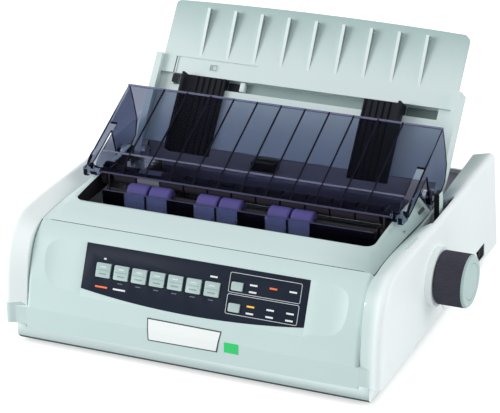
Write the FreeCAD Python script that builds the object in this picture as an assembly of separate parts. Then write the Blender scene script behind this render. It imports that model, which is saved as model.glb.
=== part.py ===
import FreeCAD, Part
import math
import os

# A desktop dot matrix printer. Sizes are in millimetres.
# x runs across with 0 on the case's centre line, y from the front to the rear, z up from the floor.

V = FreeCAD.Vector

# Shared sizes
overrun = 2.0
running_gap = 0.05
free_gap = 0.4
seat_gap = 0.3
wall = 2.5

# Case
body_width = 323.6
pod_width = 21.2
case_depth = 318.0
side_height = 118.4
rear_height = 120.3
rear_lean = 12.0
floor_gap = 3.7
skirt_height = 20.0
tray_inset = 11.6
tray_setback = 5.0
tray_floor = 3.0
tray_chamfer = 4.0
side_round = 5.0
inner_rim = 10.0
seam_setback = 9.0
nose_depth = 45.0
inner_nose_depth = 48.0
inner_nose_height = 107.0
outer_front_shares = [(0, 0), (0.022, 0.254), (0.1, 0.508), (0.267, 0.732), (0.556, 0.904), (1, 1)]
inner_front_shares = [
    (0, 0), (0, 0.184), (0.077, 0.476), (0.231, 0.775), (0.41, 0.908), (0.692, 0.982), (1, 1)]
inner_top_swell = 8.8
inner_top_shares = [
    (0, 0), (0.09, 0.25), (0.23, 0.16), (0.32, -0.02), (0.46, -0.16), (0.66, 0.2), (0.87, 0.66), (1, 0.91)]
rear_wall_height = 77.0
ledge_depth = 13.0
grip_depth = 1.2
grip_front = 88.0
grip_length = 82.0
grip_height = 17.0

# Feet and screws
foot_radius = 9.0
foot_inset_x = 26.0
foot_inset_y = 28.0
screw_radius = 2.5
screw_head_radius = 4.2
screw_head_height = 2.4
screw_inset = 40.0

# Front fascia
fascia_bottom = 17.0
fascia_depth = 40.4
fascia_height = 91.7
fascia_shares = [(0, 0), (0.03, 0.218), (0.146, 0.417), (0.196, 0.502), (0.384, 0.713),
                 (0.644, 0.896), (0.792, 0.949), (1, 1)]
fascia_round = 4.0
seam_gap = 0.5
groove_bottom = 37.0
corner_fill_width = 10.6
corner_fill_depth = 8.0

# Control panel
panel_foot_y = 14.2
panel_foot_z = 62.0
panel_lean = 25.6
panel_width = 216.0
panel_height = 41.3
panel_bow = 7.2
panel_thickness = 2.0
panel_proud = 0.5
panel_window_inset = 8.0
scoop_reach = 46.0
scoop_shares = [(0, 0), (0.5, 0.13), (0.83, 0.46), (1, 1)]
scoop_rise = 7.0
scoop_below = 14.0
scoop_above = 8.0
key_width = 14.0
key_height = 13.0
key_pitch = 17.75
first_key_x = -88.0
key_row_height = 19.0
small_key_width = 10.6
small_key_height = 7.6
small_key_x = 41.6
small_key_heights = [25.2, 6.4]
key_proud = 1.4
key_gap = 0.35
key_flange = 1.0
key_flange_thickness = 1.2
key_plunger_radius = 2.0
key_plunger_length = 2.6
key_travel = 1.0
key_round = 1.2
switch_width = 6.0
switch_height = 2.0
board_thickness = 1.6
lamp_length = 7.0
lamp_height = 1.5
lamp_thickness = 0.3
lamp_columns = [56.7, 75.4, 94.0]
lamp_rows = [28.4, 22.3, 9.6, 3.5]
lamp_grid = [(0, 0), (0, 1), (1, 0), (2, 0), (0, 2), (0, 3), (1, 2), (1, 3), (2, 2), (2, 3)]
power_lamp_length = 12.0
power_lamp_x = -88.0
alarm_lamp_x = -70.2
power_lamp_row = 4.0
quiet_lamp_row = 30.1

# Top deck
deck_front = 46.2
deck_height = 108.9
deck_length = 141.8
deck_rise = 10.7
deck_station_shares = [0, 0.1, 0.248, 0.499, 0.732, 1]
deck_rise_shares = [0, 0.25, 0.56, 0.888, 1, 1]
deck_top_inset = 11.8
deck_edge_drop = 1.5
deck_edge_swell = 2.2
deck_edge_shares = [0, 0.68, 1, 0.55, -0.23, -0.55]
deck_skirt_bottom = 102.0
deck_wall = 2.5
opening_inset = 15.8
opening_setback = 35.2
opening_round = 7.0
deck_eye_thickness = 4.3
deck_eye_reach = 30.0

# Cover hinge
cover_pivot_y = 198.0
cover_pivot_z = 115.0
cover_pin_radius = 2.5
cover_eye_radius = 6.8
bracket_ear_inset = 10.8
bracket_ear_thickness = 3.5
bracket_thickness = 2.0

# Smoked shield
shield_side_gap = 2.1
shield_sheet = 2.0
shield_wall = 1.8
lip_y = 129.0
lip_z = 124.2
lip_flange = 1.8
lip_step = 3.4
bead_y = 147.5
bead_z = 136.2
nose_bulge = 1.8
nose_steps = 5
shield_rear_y = 225.5
shield_rear_z = 172.3
shield_bead_radius = 1.1
shield_rib_pitch = 24.2
shield_rib_pairs = 5
shield_rib_width = 1.3
shield_rib_height = 1.1
notch_front = 131.0
notch_rear = 181.0
notch_width = 9.2
shield_strip = 10.0
shield_cheek_shares = [(0.12, -0.383), (0.2, -0.7), (0.12, -0.965), (-0.05, -1.06), (-0.22, -1.215)]
shield_boss_length = 4.5
tab_radius = 4.6
tab_length = 5.2
tab_block_length = 7.0
tab_block_depth = 13.0
tab_setback = 2.0
tab_seat_share = 0.94

# Sheet separator
separator_pivot_y = 230.0
separator_pivot_z = 103.0
separator_lean = 52.0
separator_side_gap = 4.9
rail_width = 6.4
rail_length = 98.8
rail_front = 9.2
rail_back = 7.8
rail_eye_radius = 6.0
separator_face = 3.9
separator_sheet = 2.2
separator_back = 3.1
separator_side_length = 155.5
separator_bow = 2.7
separator_corner = 5.0
separator_start = 12.0
channel_bottom = 71.0
channel_top = 81.6
channel_lip = 2.0
channel_inset = 14.5
channel_floor = 5.0
stop_plate_width = 84.0
stop_plate_inset = 1.0
stop_plate_height = 17.0
stop_plate_depth = 1.0
rib_pitch = 28.2
rib_pairs = 4
rib_start = 100.7
rib_end = 149.0
rib_width = 3.0
rib_height = 6.0
ear_thickness = 4.2

# Paper guides
guide_bottom = 3.0
guide_thickness = 4.4
guide_lift = 0.6
guide_groove_pitch = 6.2
guide_groove_width = 2.2
guide_groove_depth = 1.6
fence_thickness = 3.0
fence_height = 14.0
left_guide_inset = 13.0
left_guide_width = 43.0
right_guide_inset = 33.0
right_guide_width = 40.0

# Platen and its knob
platen_y = 138.2
platen_z = 68.1
platen_radius = 19.4
platen_end_gap = 12.0
platen_shaft_radius = 5.0
knob_radius = 24.5
knob_length = 24.9
knob_cap_length = 2.6
knob_cap_radius = 23.4
knob_disc_radius = 17.0
knob_disc_depth = 0.8
knob_flutes = 96
knob_flute_depth = 0.5
knob_clearance = 1.5
collar_radius = 27.0
collar_height = 6.0
shaft_hole_gap = 2.0

# Gears
gear_module = 1.0
gear_width = 5.0
gear_wall_gap = 1.5
gear_pressure_angle = 20.0
gear_backlash = 0.16
gear_centre_slack = 0.12
gear_root_gap = 0.25
platen_teeth = 48
pinion_teeth = 18
pull_idler_teeth = 18
pull_teeth = 20
tractor_idler_teeth = 32
tractor_teeth = 30
pinion_angle = 235.0
stud_radius = 2.5

# Side frames
frame_inset = 23.8
frame_thickness = 2.0
frame_front = 58.0
frame_rear = 242.0
frame_low_top = 80.0
frame_step = 108.5
frame_mid_top = 92.0
frame_ear_front = 133.5
frame_ear_rear = 149.5
frame_ear_top = 125.0
frame_flange_front = 186.0
frame_flange_rear = 240.0
frame_flange_reach = 14.0
bush_radius = 8.0
bush_flange_radius = 10.0
bush_length = 4.2
bush_flange = 1.2

# Pull-up roller and bail
pull_y = 141.5
pull_z = 117.5
pull_shaft_radius = 3.5
pull_radius = 8.1
pull_segment = 22.4
bail_y = 126.2
bail_z = 108.4
bail_rod_radius = 2.5
pinch_radius = 9.0
pinch_width = 20.7
pinch_gap = 1.9
pinch_pitch = 70.9
pinch_centre = -19.5
bail_pivot_y = 118.0
bail_pivot_z = 86.0
bail_arm_inset = 3.5
bail_arm_thickness = 2.0
bail_arm_radius = 4.0
tear_front = 113.6
tear_thickness = 1.6
tear_bottom = 97.5
tear_top = 112.4
tear_tooth_pitch = 1.6
tear_tooth_height = 1.0
tear_rib_width = 0.8
tear_rib_depth = 1.0
tear_rib_top = 103.0

# Carriage, head and ribbon
guide_shaft_y = 78.0
guide_shaft_z = 52.0
guide_shaft_radius = 5.0
carriage_home_inset = 36.4
carriage_half = 26.0
carriage_block_half_y = 11.0
carriage_block_half_z = 10.0
carriage_rear = 109.0
carriage_deck = 58.0
carriage_deck_thickness = 4.0
rail_y_low = 103.0
rail_y_high = 108.0
rail_z_low = 44.0
rail_z_high = 53.6
head_half = 20.0
head_front = 72.0
head_rear = 107.0
head_top = 83.5
head_fin_pitch = 4.4
head_fin_slot = 2.0
head_fin_depth = 6.0
head_nose_half = 9.0
head_nose_height = 12.0
head_nose_gap = 0.7
cartridge_half = 52.0
cartridge_front = 62.0
cartridge_rear = 108.0
cartridge_height = 12.0
cartridge_lift = 0.4
cartridge_round = 5.0
ribbon_knob_radius = 6.0
ribbon_knob_height = 3.0
ribbon_knob_offset = -34.0

# Belt drive
pulley_inset = 21.5
pulley_y = 94.0
pulley_z = 31.0
pulley_radius = 8.0
pulley_width = 5.0
pulley_flange = 1.6
pulley_flange_thickness = 0.8
belt_thickness = 1.2
belt_width = 4.0
carriage_motor_radius = 18.0
carriage_motor_height = 20.0
motor_shaft_radius = 2.0
clamp_half = 4.0
clamp_wall = 1.6

# Line feed motor
feed_motor_radius = 17.5
feed_motor_length = 24.0
feed_plate_half = 21.0
feed_plate_thickness = 1.5
feed_post_radius = 2.5

# Chute
chute_gap = 1.8
chute_thickness = 1.4
chute_end_gap = 8.0
chute_start_angle = 203.0
chute_end_angle = 330.0
chute_ramp_length = 27.0
chute_ramp_angle = 22.0
chute_web_height = 2.0

# Tractors
tractor_y = 205.0
tractor_z = 62.0
tractor_shaft_radius = 4.0
tractor_support_y = 226.0
tractor_support_radius = 3.5
tractor_width = 20.0
tractor_inset = 23.7
tractor_front = 192.0
tractor_rear = 236.0
tractor_low = 50.0
tractor_top = 74.0
tractor_pin_radius = 1.8
tractor_pin_height = 2.6
tractor_pin_pitch = 12.7
tractor_pins = 3
gate_thickness = 2.0
gate_lift = 3.2
gate_hinge_radius = 1.6
gate_knuckle = 9.0

# Feed lever
lever_offset = 10.2
lever_y = 178.5
lever_pivot_z = 62.0
lever_hub_radius = 7.0
lever_stem_depth = 8.0
lever_stem_width = 5.0
lever_handle_depth = 10.0
lever_handle_width = 5.0
lever_handle_bottom = 98.0
lever_top = 131.0
lever_groove_pitch = 2.6
lever_groove_depth = 0.8
slot_front = 146.0
slot_rear = 206.0
slot_width = 12.4
lever_stud_radius = 3.0

# Power switch
switch_y_low = 255.5
switch_y_high = 280.0
switch_z_low = 24.2
switch_z_high = 37.6
switch_slant = 9.0
switch_pocket_depth = 7.0
switch_shell = 1.5
rocker_length = 12.0
rocker_height = 9.6
rocker_depth = 6.5
rocker_tilt = 6.0
rocker_pin_radius = 1.5
rocker_gap = 0.5

# Boards, transformer and connectors
main_board_x_low = -60.0
main_board_inset = 8.0
main_board_y_low = 128.0
main_board_y_high = 300.0
main_board_height = 10.0
board_post_radius = 3.5
board_post_inset = 8.0
chip_sizes = [(-20.0, 150.0, 34.0, 12.0, 4.0), (30.0, 165.0, 24.0, 24.0, 3.0),
              (72.0, 190.0, 40.0, 14.0, 5.0), (-30.0, 215.0, 20.0, 20.0, 9.0),
              (20.0, 225.0, 44.0, 12.0, 8.0)]
transformer_inset = 34.0
transformer_y = 264.0
transformer_width = 54.0
transformer_depth = 44.0
transformer_height = 46.0
winding_overhang = 6.0
inlet_inset = 33.8
inlet_z = 45.0
inlet_width = 27.0
inlet_height = 20.0
inlet_depth = 22.0
inlet_socket_width = 22.0
inlet_socket_depth = 15.0
inlet_blade_width = 2.0
inlet_blade_height = 4.5
inlet_blade_pitch = 7.0
port_x = 20.0
port_z = 42.0
port_width = 66.0
port_height = 15.0
port_depth = 14.0
port_socket_inset = 4.0
port_tongue_height = 3.0
usb_x = 88.0
usb_width = 14.0

# Rear deck
rear_deck_front = 243.0
rear_deck_notch_rear = 263.0
rear_deck_top = 88.0
rear_deck_rise = 5.0
rear_deck_lip = 16.0
cheek_height = 22.0
cheek_front = 266.0
cheek_rear = 300.0
cheek_thickness = 1.2

# Values worked out from the sizes above
body_half = body_width / 2
case_half = body_half + pod_width
case_width = 2 * case_half
tray_half = case_half - tray_inset
fascia_half = body_half - seam_gap
deck_half = body_half - free_gap
deck_top_half = body_half - deck_top_inset
rear_deck_half = body_half - seam_gap
opening_half = body_half - opening_inset
opening_front = deck_front + opening_setback
shield_half = body_half - shield_side_gap
notch_inner = shield_half - notch_width
separator_half = body_half - separator_side_gap
rail_inner = separator_half - rail_width
channel_half = rail_inner - channel_inset
stop_plate_left = stop_plate_inset - channel_half
left_guide_outer = left_guide_inset - channel_half
right_guide_outer = channel_half - right_guide_inset
frame_outer = body_half - frame_inset
frame_inner = frame_outer - frame_thickness
platen_half = frame_inner - platen_end_gap
chute_half = frame_inner - chute_end_gap
bail_arm_outer = frame_outer - bail_arm_inset
carriage_home = carriage_home_inset - frame_outer
pulley_x = frame_outer - pulley_inset
tractor_centre = frame_outer - tractor_inset
lever_x = body_half + lever_offset
main_board_x_high = frame_inner - main_board_inset
transformer_x = transformer_inset - frame_inner
inlet_x = inlet_inset - body_half
gear_low_x = -frame_outer - gear_wall_gap - gear_width
gear_high_x = -frame_outer - gear_wall_gap
tray_bottom = floor_gap
tray_inside = floor_gap + tray_floor
rear_top_y = case_depth - rear_lean
knob_start = case_half + collar_height + knob_clearance
knob_end = knob_start + knob_length + knob_cap_length
bracket_ear_inner = body_half - bracket_ear_inset
bracket_ear_outer = bracket_ear_inner + bracket_ear_thickness
panel_up = V(0, math.sin(math.radians(panel_lean)), math.cos(math.radians(panel_lean)))
panel_out = V(0, -math.cos(math.radians(panel_lean)), math.sin(math.radians(panel_lean)))
panel_foot = V(0, panel_foot_y, panel_foot_z)


# Basic shapes

def block(x_low, x_high, y_low, y_high, z_low, z_high):
    return Part.makeBox(x_high - x_low, y_high - y_low, z_high - z_low, V(x_low, y_low, z_low))


def bar_x(radius, x_low, x_high, y, z):
    return Part.makeCylinder(radius, x_high - x_low, V(x_low, y, z), V(1, 0, 0))


def bar_y(radius, x, y_low, y_high, z):
    return Part.makeCylinder(radius, y_high - y_low, V(x, y_low, z), V(0, 1, 0))


def bar_z(radius, x, y, z_low, z_high):
    return Part.makeCylinder(radius, z_high - z_low, V(x, y, z_low), V(0, 0, 1))


def side_slab(points, x_low, x_high):
    corners = [V(x_low, y, z) for y, z in points]
    face = Part.Face(Part.makePolygon(corners + corners[:1]))
    return face.extrude(V(x_high - x_low, 0, 0))


def plan_slab(points, z_low, z_high):
    corners = [V(x, y, z_low) for x, y in points]
    face = Part.Face(Part.makePolygon(corners + corners[:1]))
    return face.extrude(V(0, 0, z_high - z_low))


def joined(shapes):
    return shapes[0].multiFuse(shapes[1:]).removeSplitter()


def group(shapes):
    return Part.makeCompound(shapes)


def mirrored(shape):
    return shape.mirror(V(0, 0, 0), V(1, 0, 0))


def both_sides(shape):
    return group([shape, mirrored(shape)])


def smooth_edge(points):
    curve = Part.BSplineCurve()
    curve.interpolate(points)
    return curve.toShape()


def straight_edge(start, end):
    return Part.LineSegment(start, end).toShape()


def inset(points, depth):
    """Moves an open outline's points to its right-hand side, each along its own normal."""
    moved = []
    last = len(points) - 1
    for index, (y, z) in enumerate(points):
        before = points[max(index - 1, 0)]
        after = points[min(index + 1, last)]
        run = after[0] - before[0]
        rise = after[1] - before[1]
        length = math.hypot(run, rise)
        moved.append((y + depth * rise / length, z - depth * run / length))
    return moved


def polar(centre, radius, degrees):
    angle = math.radians(degrees)
    return (centre[0] + radius * math.cos(angle), centre[1] + radius * math.sin(angle))


def on_panel(x, up, out):
    return V(x, 0, 0) + panel_foot + panel_up * up + panel_out * out


def panel_block(x_low, x_high, up_low, up_high, out_low, out_high):
    corners = [on_panel(x_low, up_low, out_low), on_panel(x_high, up_low, out_low),
               on_panel(x_high, up_high, out_low), on_panel(x_low, up_high, out_low)]
    face = Part.Face(Part.makePolygon(corners + corners[:1]))
    return face.extrude(panel_out * (out_high - out_low))


# Gears

def gear_points(teeth, phase):
    """Outline of an involute gear about the origin, with one tooth centred on the phase angle."""
    pitch_radius = gear_module * teeth / 2
    base_radius = pitch_radius * math.cos(math.radians(gear_pressure_angle))
    tip_radius = pitch_radius + gear_module
    root_radius = pitch_radius - gear_module * (1 + gear_root_gap)
    flank_angle = math.tan(math.radians(gear_pressure_angle)) - math.radians(gear_pressure_angle)
    half_tooth = math.pi / (2 * teeth) - gear_backlash / (2 * pitch_radius)
    start_radius = max(base_radius, root_radius)
    steps = 4
    flank = []
    for step in range(steps + 1):
        radius = start_radius + (tip_radius - start_radius) * step / steps
        roll = math.acos(min(1, base_radius / radius))
        flank.append((radius, half_tooth + flank_angle - (math.tan(roll) - roll)))
    flank.insert(0, (root_radius, flank[0][1]))
    points = []
    for tooth in range(teeth):
        centre = phase + 2 * math.pi * tooth / teeth
        for radius, offset in flank:
            points.append((radius * math.cos(centre - offset), radius * math.sin(centre - offset)))
        for radius, offset in reversed(flank):
            points.append((radius * math.cos(centre + offset), radius * math.sin(centre + offset)))
    return points


def gear(teeth, centre, phase, bore_radius):
    y, z = centre
    corners = [V(gear_low_x, y + dy, z + dz) for dy, dz in gear_points(teeth, phase)]
    outline = Part.makePolygon(corners + corners[:1])
    bore = Part.Wire(Part.makeCircle(bore_radius, V(gear_low_x, y, z), V(1, 0, 0)))
    face = Part.Face([outline, bore])
    face.validate()
    return face.extrude(V(gear_width, 0, 0))


def meshed_phase(teeth, phase, centre, other_teeth, other_centre):
    """Phase that puts the other gear's tooth gaps on this gear's teeth."""
    direction = math.atan2(other_centre[1] - centre[1], other_centre[0] - centre[0])
    share = (direction - phase) * teeth / (2 * math.pi)
    return direction + math.pi - (0.5 - share) * 2 * math.pi / other_teeth


def gear_distance(teeth, other_teeth):
    return gear_module * (teeth + other_teeth) / 2 + gear_centre_slack


def idler_centre(first, second, first_distance, second_distance, side):
    """Centre that lies at two given distances from two other centres."""
    span = math.hypot(second[0] - first[0], second[1] - first[1])
    along = (first_distance ** 2 - second_distance ** 2 + span ** 2) / (2 * span)
    across = side * math.sqrt(first_distance ** 2 - along ** 2)
    unit = ((second[0] - first[0]) / span, (second[1] - first[1]) / span)
    return (first[0] + along * unit[0] + across * unit[1], first[1] + along * unit[1] - across * unit[0])


platen_centre = (platen_y, platen_z)
pull_centre = (pull_y, pull_z)
tractor_centre_line = (tractor_y, tractor_z)
pinion_centre = polar(platen_centre, gear_distance(platen_teeth, pinion_teeth), pinion_angle)
pull_idler_centre = idler_centre(
    platen_centre, pull_centre, gear_distance(platen_teeth, pull_idler_teeth),
    gear_distance(pull_idler_teeth, pull_teeth), 1)
tractor_idler_centre = idler_centre(
    platen_centre, tractor_centre_line, gear_distance(platen_teeth, tractor_idler_teeth),
    gear_distance(tractor_idler_teeth, tractor_teeth), 1)
pinion_phase = meshed_phase(platen_teeth, 0, platen_centre, pinion_teeth, pinion_centre)
pull_idler_phase = meshed_phase(platen_teeth, 0, platen_centre, pull_idler_teeth, pull_idler_centre)
pull_phase = meshed_phase(
    pull_idler_teeth, pull_idler_phase, pull_idler_centre, pull_teeth, pull_centre)
tractor_idler_phase = meshed_phase(
    platen_teeth, 0, platen_centre, tractor_idler_teeth, tractor_idler_centre)
tractor_phase = meshed_phase(
    tractor_idler_teeth, tractor_idler_phase, tractor_idler_centre, tractor_teeth, tractor_centre_line)


# Upper case

def front_points(shares, start_y, depth, height):
    return [(start_y + share_y * depth, skirt_height + share_z * height) for share_y, share_z in shares]


def outer_lines():
    """Front and top outline of a pod at the outer wall."""
    front = front_points(outer_front_shares, 0, nose_depth, side_height - skirt_height)
    return front, [(nose_depth, side_height), (rear_top_y, rear_height)]


def inner_lines():
    """Front and top outline of a pod at the seam with the fascia and the deck."""
    front = front_points(
        inner_front_shares, seam_setback, inner_nose_depth - seam_setback,
        inner_nose_height - skirt_height)
    run = rear_top_y - inner_nose_depth
    top = [(inner_nose_depth + share_y * run, inner_nose_height + share_z * inner_top_swell)
           for share_y, share_z in inner_top_shares]
    return front, top


def pod_section(x, lines, depth):
    """Outline of a pod at one station, moved in by a depth."""
    front, top = lines
    whole = inset(front + top[1:], depth)
    front_edge = [V(x, y, z) for y, z in whole[:len(front)]]
    top_edge = [V(x, y, z) for y, z in whole[len(front) - 1:]]
    foot = V(x, case_depth - depth, skirt_height)
    top_edge[-1] = V(x, rear_top_y - depth, top_edge[-1].z)
    return Part.Wire([smooth_edge(front_edge), smooth_edge(top_edge),
                      straight_edge(top_edge[-1], foot), straight_edge(foot, front_edge[0])])


def rounded_pod(inner_x, outer_x, depth):
    """One side pod with a round along its outer top edge, its skin moved in by a depth."""
    pod = Part.makeLoft([pod_section(outer_x, outer_lines(), depth),
                         pod_section(inner_x, inner_lines(), depth)], True, True)
    edges = [edge for edge in pod.Edges
             if edge.BoundBox.XMin > outer_x - free_gap
             and edge.BoundBox.ZMax > side_height - overrun - depth
             and edge.BoundBox.YMin < rear_top_y - overrun - depth]
    return pod.makeFillet(side_round - depth, edges)


def hollow_pod():
    """Pod with an even wall, open to the inside except for a rim along the seam."""
    hollow = rounded_pod(body_half + wall, case_half - wall, wall)
    mouth_face = Part.Face(pod_section(body_half - overrun, inner_lines(), inner_rim))
    mouth = mouth_face.extrude(V(overrun + 2 * wall, 0, 0))
    floor = block(0, case_half, 0, case_depth, 0, skirt_height + wall)
    return rounded_pod(body_half, case_half, 0).cut(hollow.cut(floor)).cut(mouth.cut(floor))


def grip_recess():
    front = grip_front
    rear = grip_front + grip_length
    low = skirt_height - overrun
    high = skirt_height + grip_height
    return side_slab([(front, low), (front + grip_height / 2, high), (rear - grip_height, high), (rear, low)],
                     case_half - grip_depth, case_half + overrun)


def switch_outline(margin):
    return [(switch_y_low - margin, switch_z_high + margin),
            (switch_y_high + margin, switch_z_high + margin),
            (switch_y_high + margin, switch_z_low - margin),
            (switch_y_low + switch_slant - margin, switch_z_low - margin)]


def lever_slot():
    return block(lever_x - slot_width / 2, lever_x + slot_width / 2, slot_front, slot_rear,
                 lever_handle_bottom - overrun, side_height + overrun)


def right_pod():
    collar = bar_x(collar_radius, case_half - wall, case_half + collar_height, platen_y, platen_z)
    pod = hollow_pod().fuse(collar)
    shaft_hole = bar_x(platen_shaft_radius + shaft_hole_gap, case_half - wall - overrun,
                       case_half + collar_height + overrun, platen_y, platen_z)
    switch_hole = side_slab(switch_outline(0), case_half - wall - overrun, case_half + overrun)
    return pod.cut([shaft_hole, switch_hole, lever_slot(), grip_recess()])


def left_pod():
    return mirrored(hollow_pod().cut(grip_recess()))


def corner_fill():
    """Wedge that carries the fascia's lower face on into the right pod, below the groove."""
    wires = []
    for z in (skirt_height, groove_bottom):
        front = fascia_y(z)
        outer_x = fascia_half + corner_fill_width
        outer_share = (outer_x - body_half) / (case_half - body_half)
        outer_y = seam_setback * (1 - outer_share) + running_gap
        corners = [V(fascia_half, front, z), V(outer_x, outer_y, z),
                   V(outer_x, outer_y + corner_fill_depth, z), V(fascia_half, front + corner_fill_depth, z)]
        wires.append(Part.makePolygon(corners + corners[:1]))
    return Part.makeLoft(wires, True, True)


def rear_wall_y(z):
    return case_depth - rear_lean * (z - skirt_height) / (rear_height - skirt_height)


def rear_wall():
    low = skirt_height
    high = skirt_height + rear_wall_height
    points = [(rear_wall_y(low), low), (rear_wall_y(high), high),
              (rear_wall_y(high) - wall, high), (rear_wall_y(low) - wall, low)]
    slab = side_slab(points, -body_half - wall / 2, body_half + wall / 2)
    holes = [block(inlet_x - inlet_width / 2, inlet_x + inlet_width / 2, case_depth / 2, case_depth + overrun,
                   inlet_z - inlet_height / 2, inlet_z + inlet_height / 2),
             block(port_x - port_width / 2, port_x + port_width / 2, case_depth / 2, case_depth + overrun,
                   port_z - port_height / 2, port_z + port_height / 2),
             block(usb_x - usb_width / 2, usb_x + usb_width / 2, case_depth / 2, case_depth + overrun,
                   port_z - port_height / 2, port_z + port_height / 2)]
    return slab.cut(holes)


def front_ledge():
    top = deck_skirt_bottom - seat_gap
    shelf = block(-body_half - wall, body_half + wall, inner_nose_depth, inner_nose_depth + ledge_depth,
                  top - wall, top)
    hanger = block(body_half, body_half + wall, inner_nose_depth, inner_nose_depth + ledge_depth,
                   top - wall, inner_nose_height - wall / 2)
    return [shelf, hanger, mirrored(hanger)]


def upper_case():
    fill = corner_fill()
    return joined([right_pod(), left_pod(), rear_wall(), fill, mirrored(fill)] + front_ledge())


# Lower case, feet and screws

def foot_places():
    x = tray_half - foot_inset_x
    return [(x, foot_inset_y), (-x, foot_inset_y), (x, case_depth - foot_inset_y),
            (-x, case_depth - foot_inset_y)]


def lower_case():
    rear = case_depth - tray_setback
    profile = [(tray_setback + tray_chamfer, tray_bottom), (tray_setback, tray_bottom + tray_chamfer),
               (tray_setback, skirt_height), (rear, skirt_height),
               (rear, tray_bottom + tray_chamfer), (rear - tray_chamfer, tray_bottom)]
    tray = side_slab(profile, -tray_half, tray_half)
    tray = tray.cut(block(wall - tray_half, tray_half - wall, tray_setback + wall, rear - wall,
                          tray_inside, skirt_height + overrun))
    tray = tray.cut(block(-body_half, body_half, 0, tray_setback + 2 * wall, fascia_bottom,
                          skirt_height + overrun))
    posts = [bar_z(board_post_radius, x, y, tray_inside - wall / 2, main_board_height)
             for x in (main_board_x_low + board_post_inset, main_board_x_high - board_post_inset)
             for y in (main_board_y_low + board_post_inset, main_board_y_high - board_post_inset)]
    idler_post = bar_z(stud_radius, pulley_x, pulley_y, tray_inside - wall / 2,
                       pulley_z + pulley_width + pulley_flange)
    idler_seat = bar_z(2 * stud_radius, pulley_x, pulley_y, tray_inside - wall / 2,
                       pulley_z - pulley_flange_thickness - free_gap)
    tray = joined([tray, idler_post, idler_seat] + posts)
    holes = [bar_z(screw_radius + running_gap, x, y, 0, tray_inside + overrun) for x, y in screw_places()]
    return tray.cut(holes)


def screw_places():
    x = frame_outer + frame_flange_reach / 2
    rear = case_depth - screw_inset
    return [(x, screw_inset), (-x, screw_inset), (x, rear), (-x, rear)]


def case_screws():
    screws = []
    for x, y in screw_places():
        head = bar_z(screw_head_radius, x, y, tray_inside, tray_inside + screw_head_height)
        screws.append(head.fuse(bar_z(screw_radius, x, y, tray_bottom, tray_inside)))
    return group(screws)


def rubber_feet():
    return group([bar_z(foot_radius, x, y, 0, floor_gap) for x, y in foot_places()])


# Front fascia

def fascia_points():
    return [(tray_setback + share_y * fascia_depth, fascia_bottom + share_z * fascia_height)
            for share_y, share_z in fascia_shares]


def fascia_y(z):
    """Front of the fascia at a height between its lowest two points."""
    low, high = fascia_points()[:2]
    return low[0] + (high[0] - low[0]) * (z - low[1]) / (high[1] - low[1])


def fascia_form(depth, half_width):
    points = inset(fascia_points(), depth)
    rear = tray_setback + fascia_depth
    if depth:
        points[0] = (points[0][0], fascia_bottom - overrun)
        points[-1] = (rear + overrun, points[-1][1])
    corners = [V(-half_width, y, z) for y, z in points]
    low_rear = V(-half_width, corners[-1].y, corners[0].z)
    edges = [straight_edge(corners[0], corners[1]), smooth_edge(corners[1:]),
             straight_edge(corners[-1], low_rear), straight_edge(low_rear, corners[0])]
    return Part.Face(Part.Wire(edges)).extrude(V(2 * half_width, 0, 0))


def scoop_tool(offset):
    """Everything in front of the control panel's plane, with wings that curve outwards."""
    half = panel_width / 2 + panel_proud
    out_limit = scoop_rise + scoop_above
    edges = []
    for side in (1, -1):
        wing = [on_panel(side * (half + share_x * scoop_reach), -scoop_below, offset + share_out * scoop_rise)
                for share_x, share_out in scoop_shares]
        top = on_panel(side * (half + scoop_reach), -scoop_below, out_limit)
        edges += [smooth_edge(wing), straight_edge(wing[-1], top)]
    low_left = on_panel(-half, -scoop_below, offset)
    low_right = on_panel(half, -scoop_below, offset)
    top_left = on_panel(-half - scoop_reach, -scoop_below, out_limit)
    top_right = on_panel(half + scoop_reach, -scoop_below, out_limit)
    edges += [straight_edge(low_left, low_right), straight_edge(top_left, top_right)]
    wire = Part.Wire(Part.__sortEdges__(edges))
    return Part.Face(wire).extrude(panel_up * (scoop_below + panel_height + scoop_above))


def panel_plate(margin, out_low, out_high):
    half = panel_width / 2 + margin
    top = panel_height + margin
    corners = [on_panel(-half, top, out_low), on_panel(half, top, out_low), on_panel(half, -margin, out_low),
               on_panel(-half, -margin, out_low)]
    bottom = Part.Arc(corners[2], on_panel(0, -panel_bow - margin, out_low), corners[3]).toShape()
    edges = [straight_edge(corners[0], corners[1]), straight_edge(corners[1], corners[2]), bottom,
             straight_edge(corners[3], corners[0])]
    return Part.Face(Part.Wire(edges)).extrude(panel_out * (out_high - out_low))


def panel_window():
    half = panel_width / 2 - panel_window_inset
    return panel_block(-half, half, 0, panel_height - free_gap * overrun, -scoop_below, scoop_above)


def front_fascia():
    body = fascia_form(0, fascia_half)
    side_edges = [edge for edge in body.Edges
                  if edge.BoundBox.XLength < free_gap and edge.BoundBox.ZLength > fascia_height / 2
                  and edge.BoundBox.YMin < panel_foot_y and edge.BoundBox.YMax > panel_foot_y]
    lower = block(-case_half, case_half, 0, case_depth, 0, groove_bottom)
    body = joined([body.makeFillet(fascia_round, side_edges).cut(lower), body.common(lower)])
    hollow = fascia_form(wall, fascia_half - wall).cut(scoop_tool(-wall))
    body = body.cut(hollow).cut(scoop_tool(0))
    body = body.cut(panel_plate(free_gap / 2, panel_proud - panel_thickness, scoop_above))
    return body.cut(panel_window()).removeSplitter()


# Control panel

def key_places():
    """Name, centre, width and height of each key, from left to right."""
    names = ["select_key", "form_feed_key", "line_feed_key", "top_of_form_key", "tear_key",
             "park_key", "quiet_key"]
    places = [(name, first_key_x + index * key_pitch, key_row_height, key_width, key_height)
              for index, name in enumerate(names)]
    small_names = ["quality_key", "pitch_key"]
    places += [(name, small_key_x, up, small_key_width, small_key_height)
               for name, up in zip(small_names, small_key_heights)]
    return places


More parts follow.
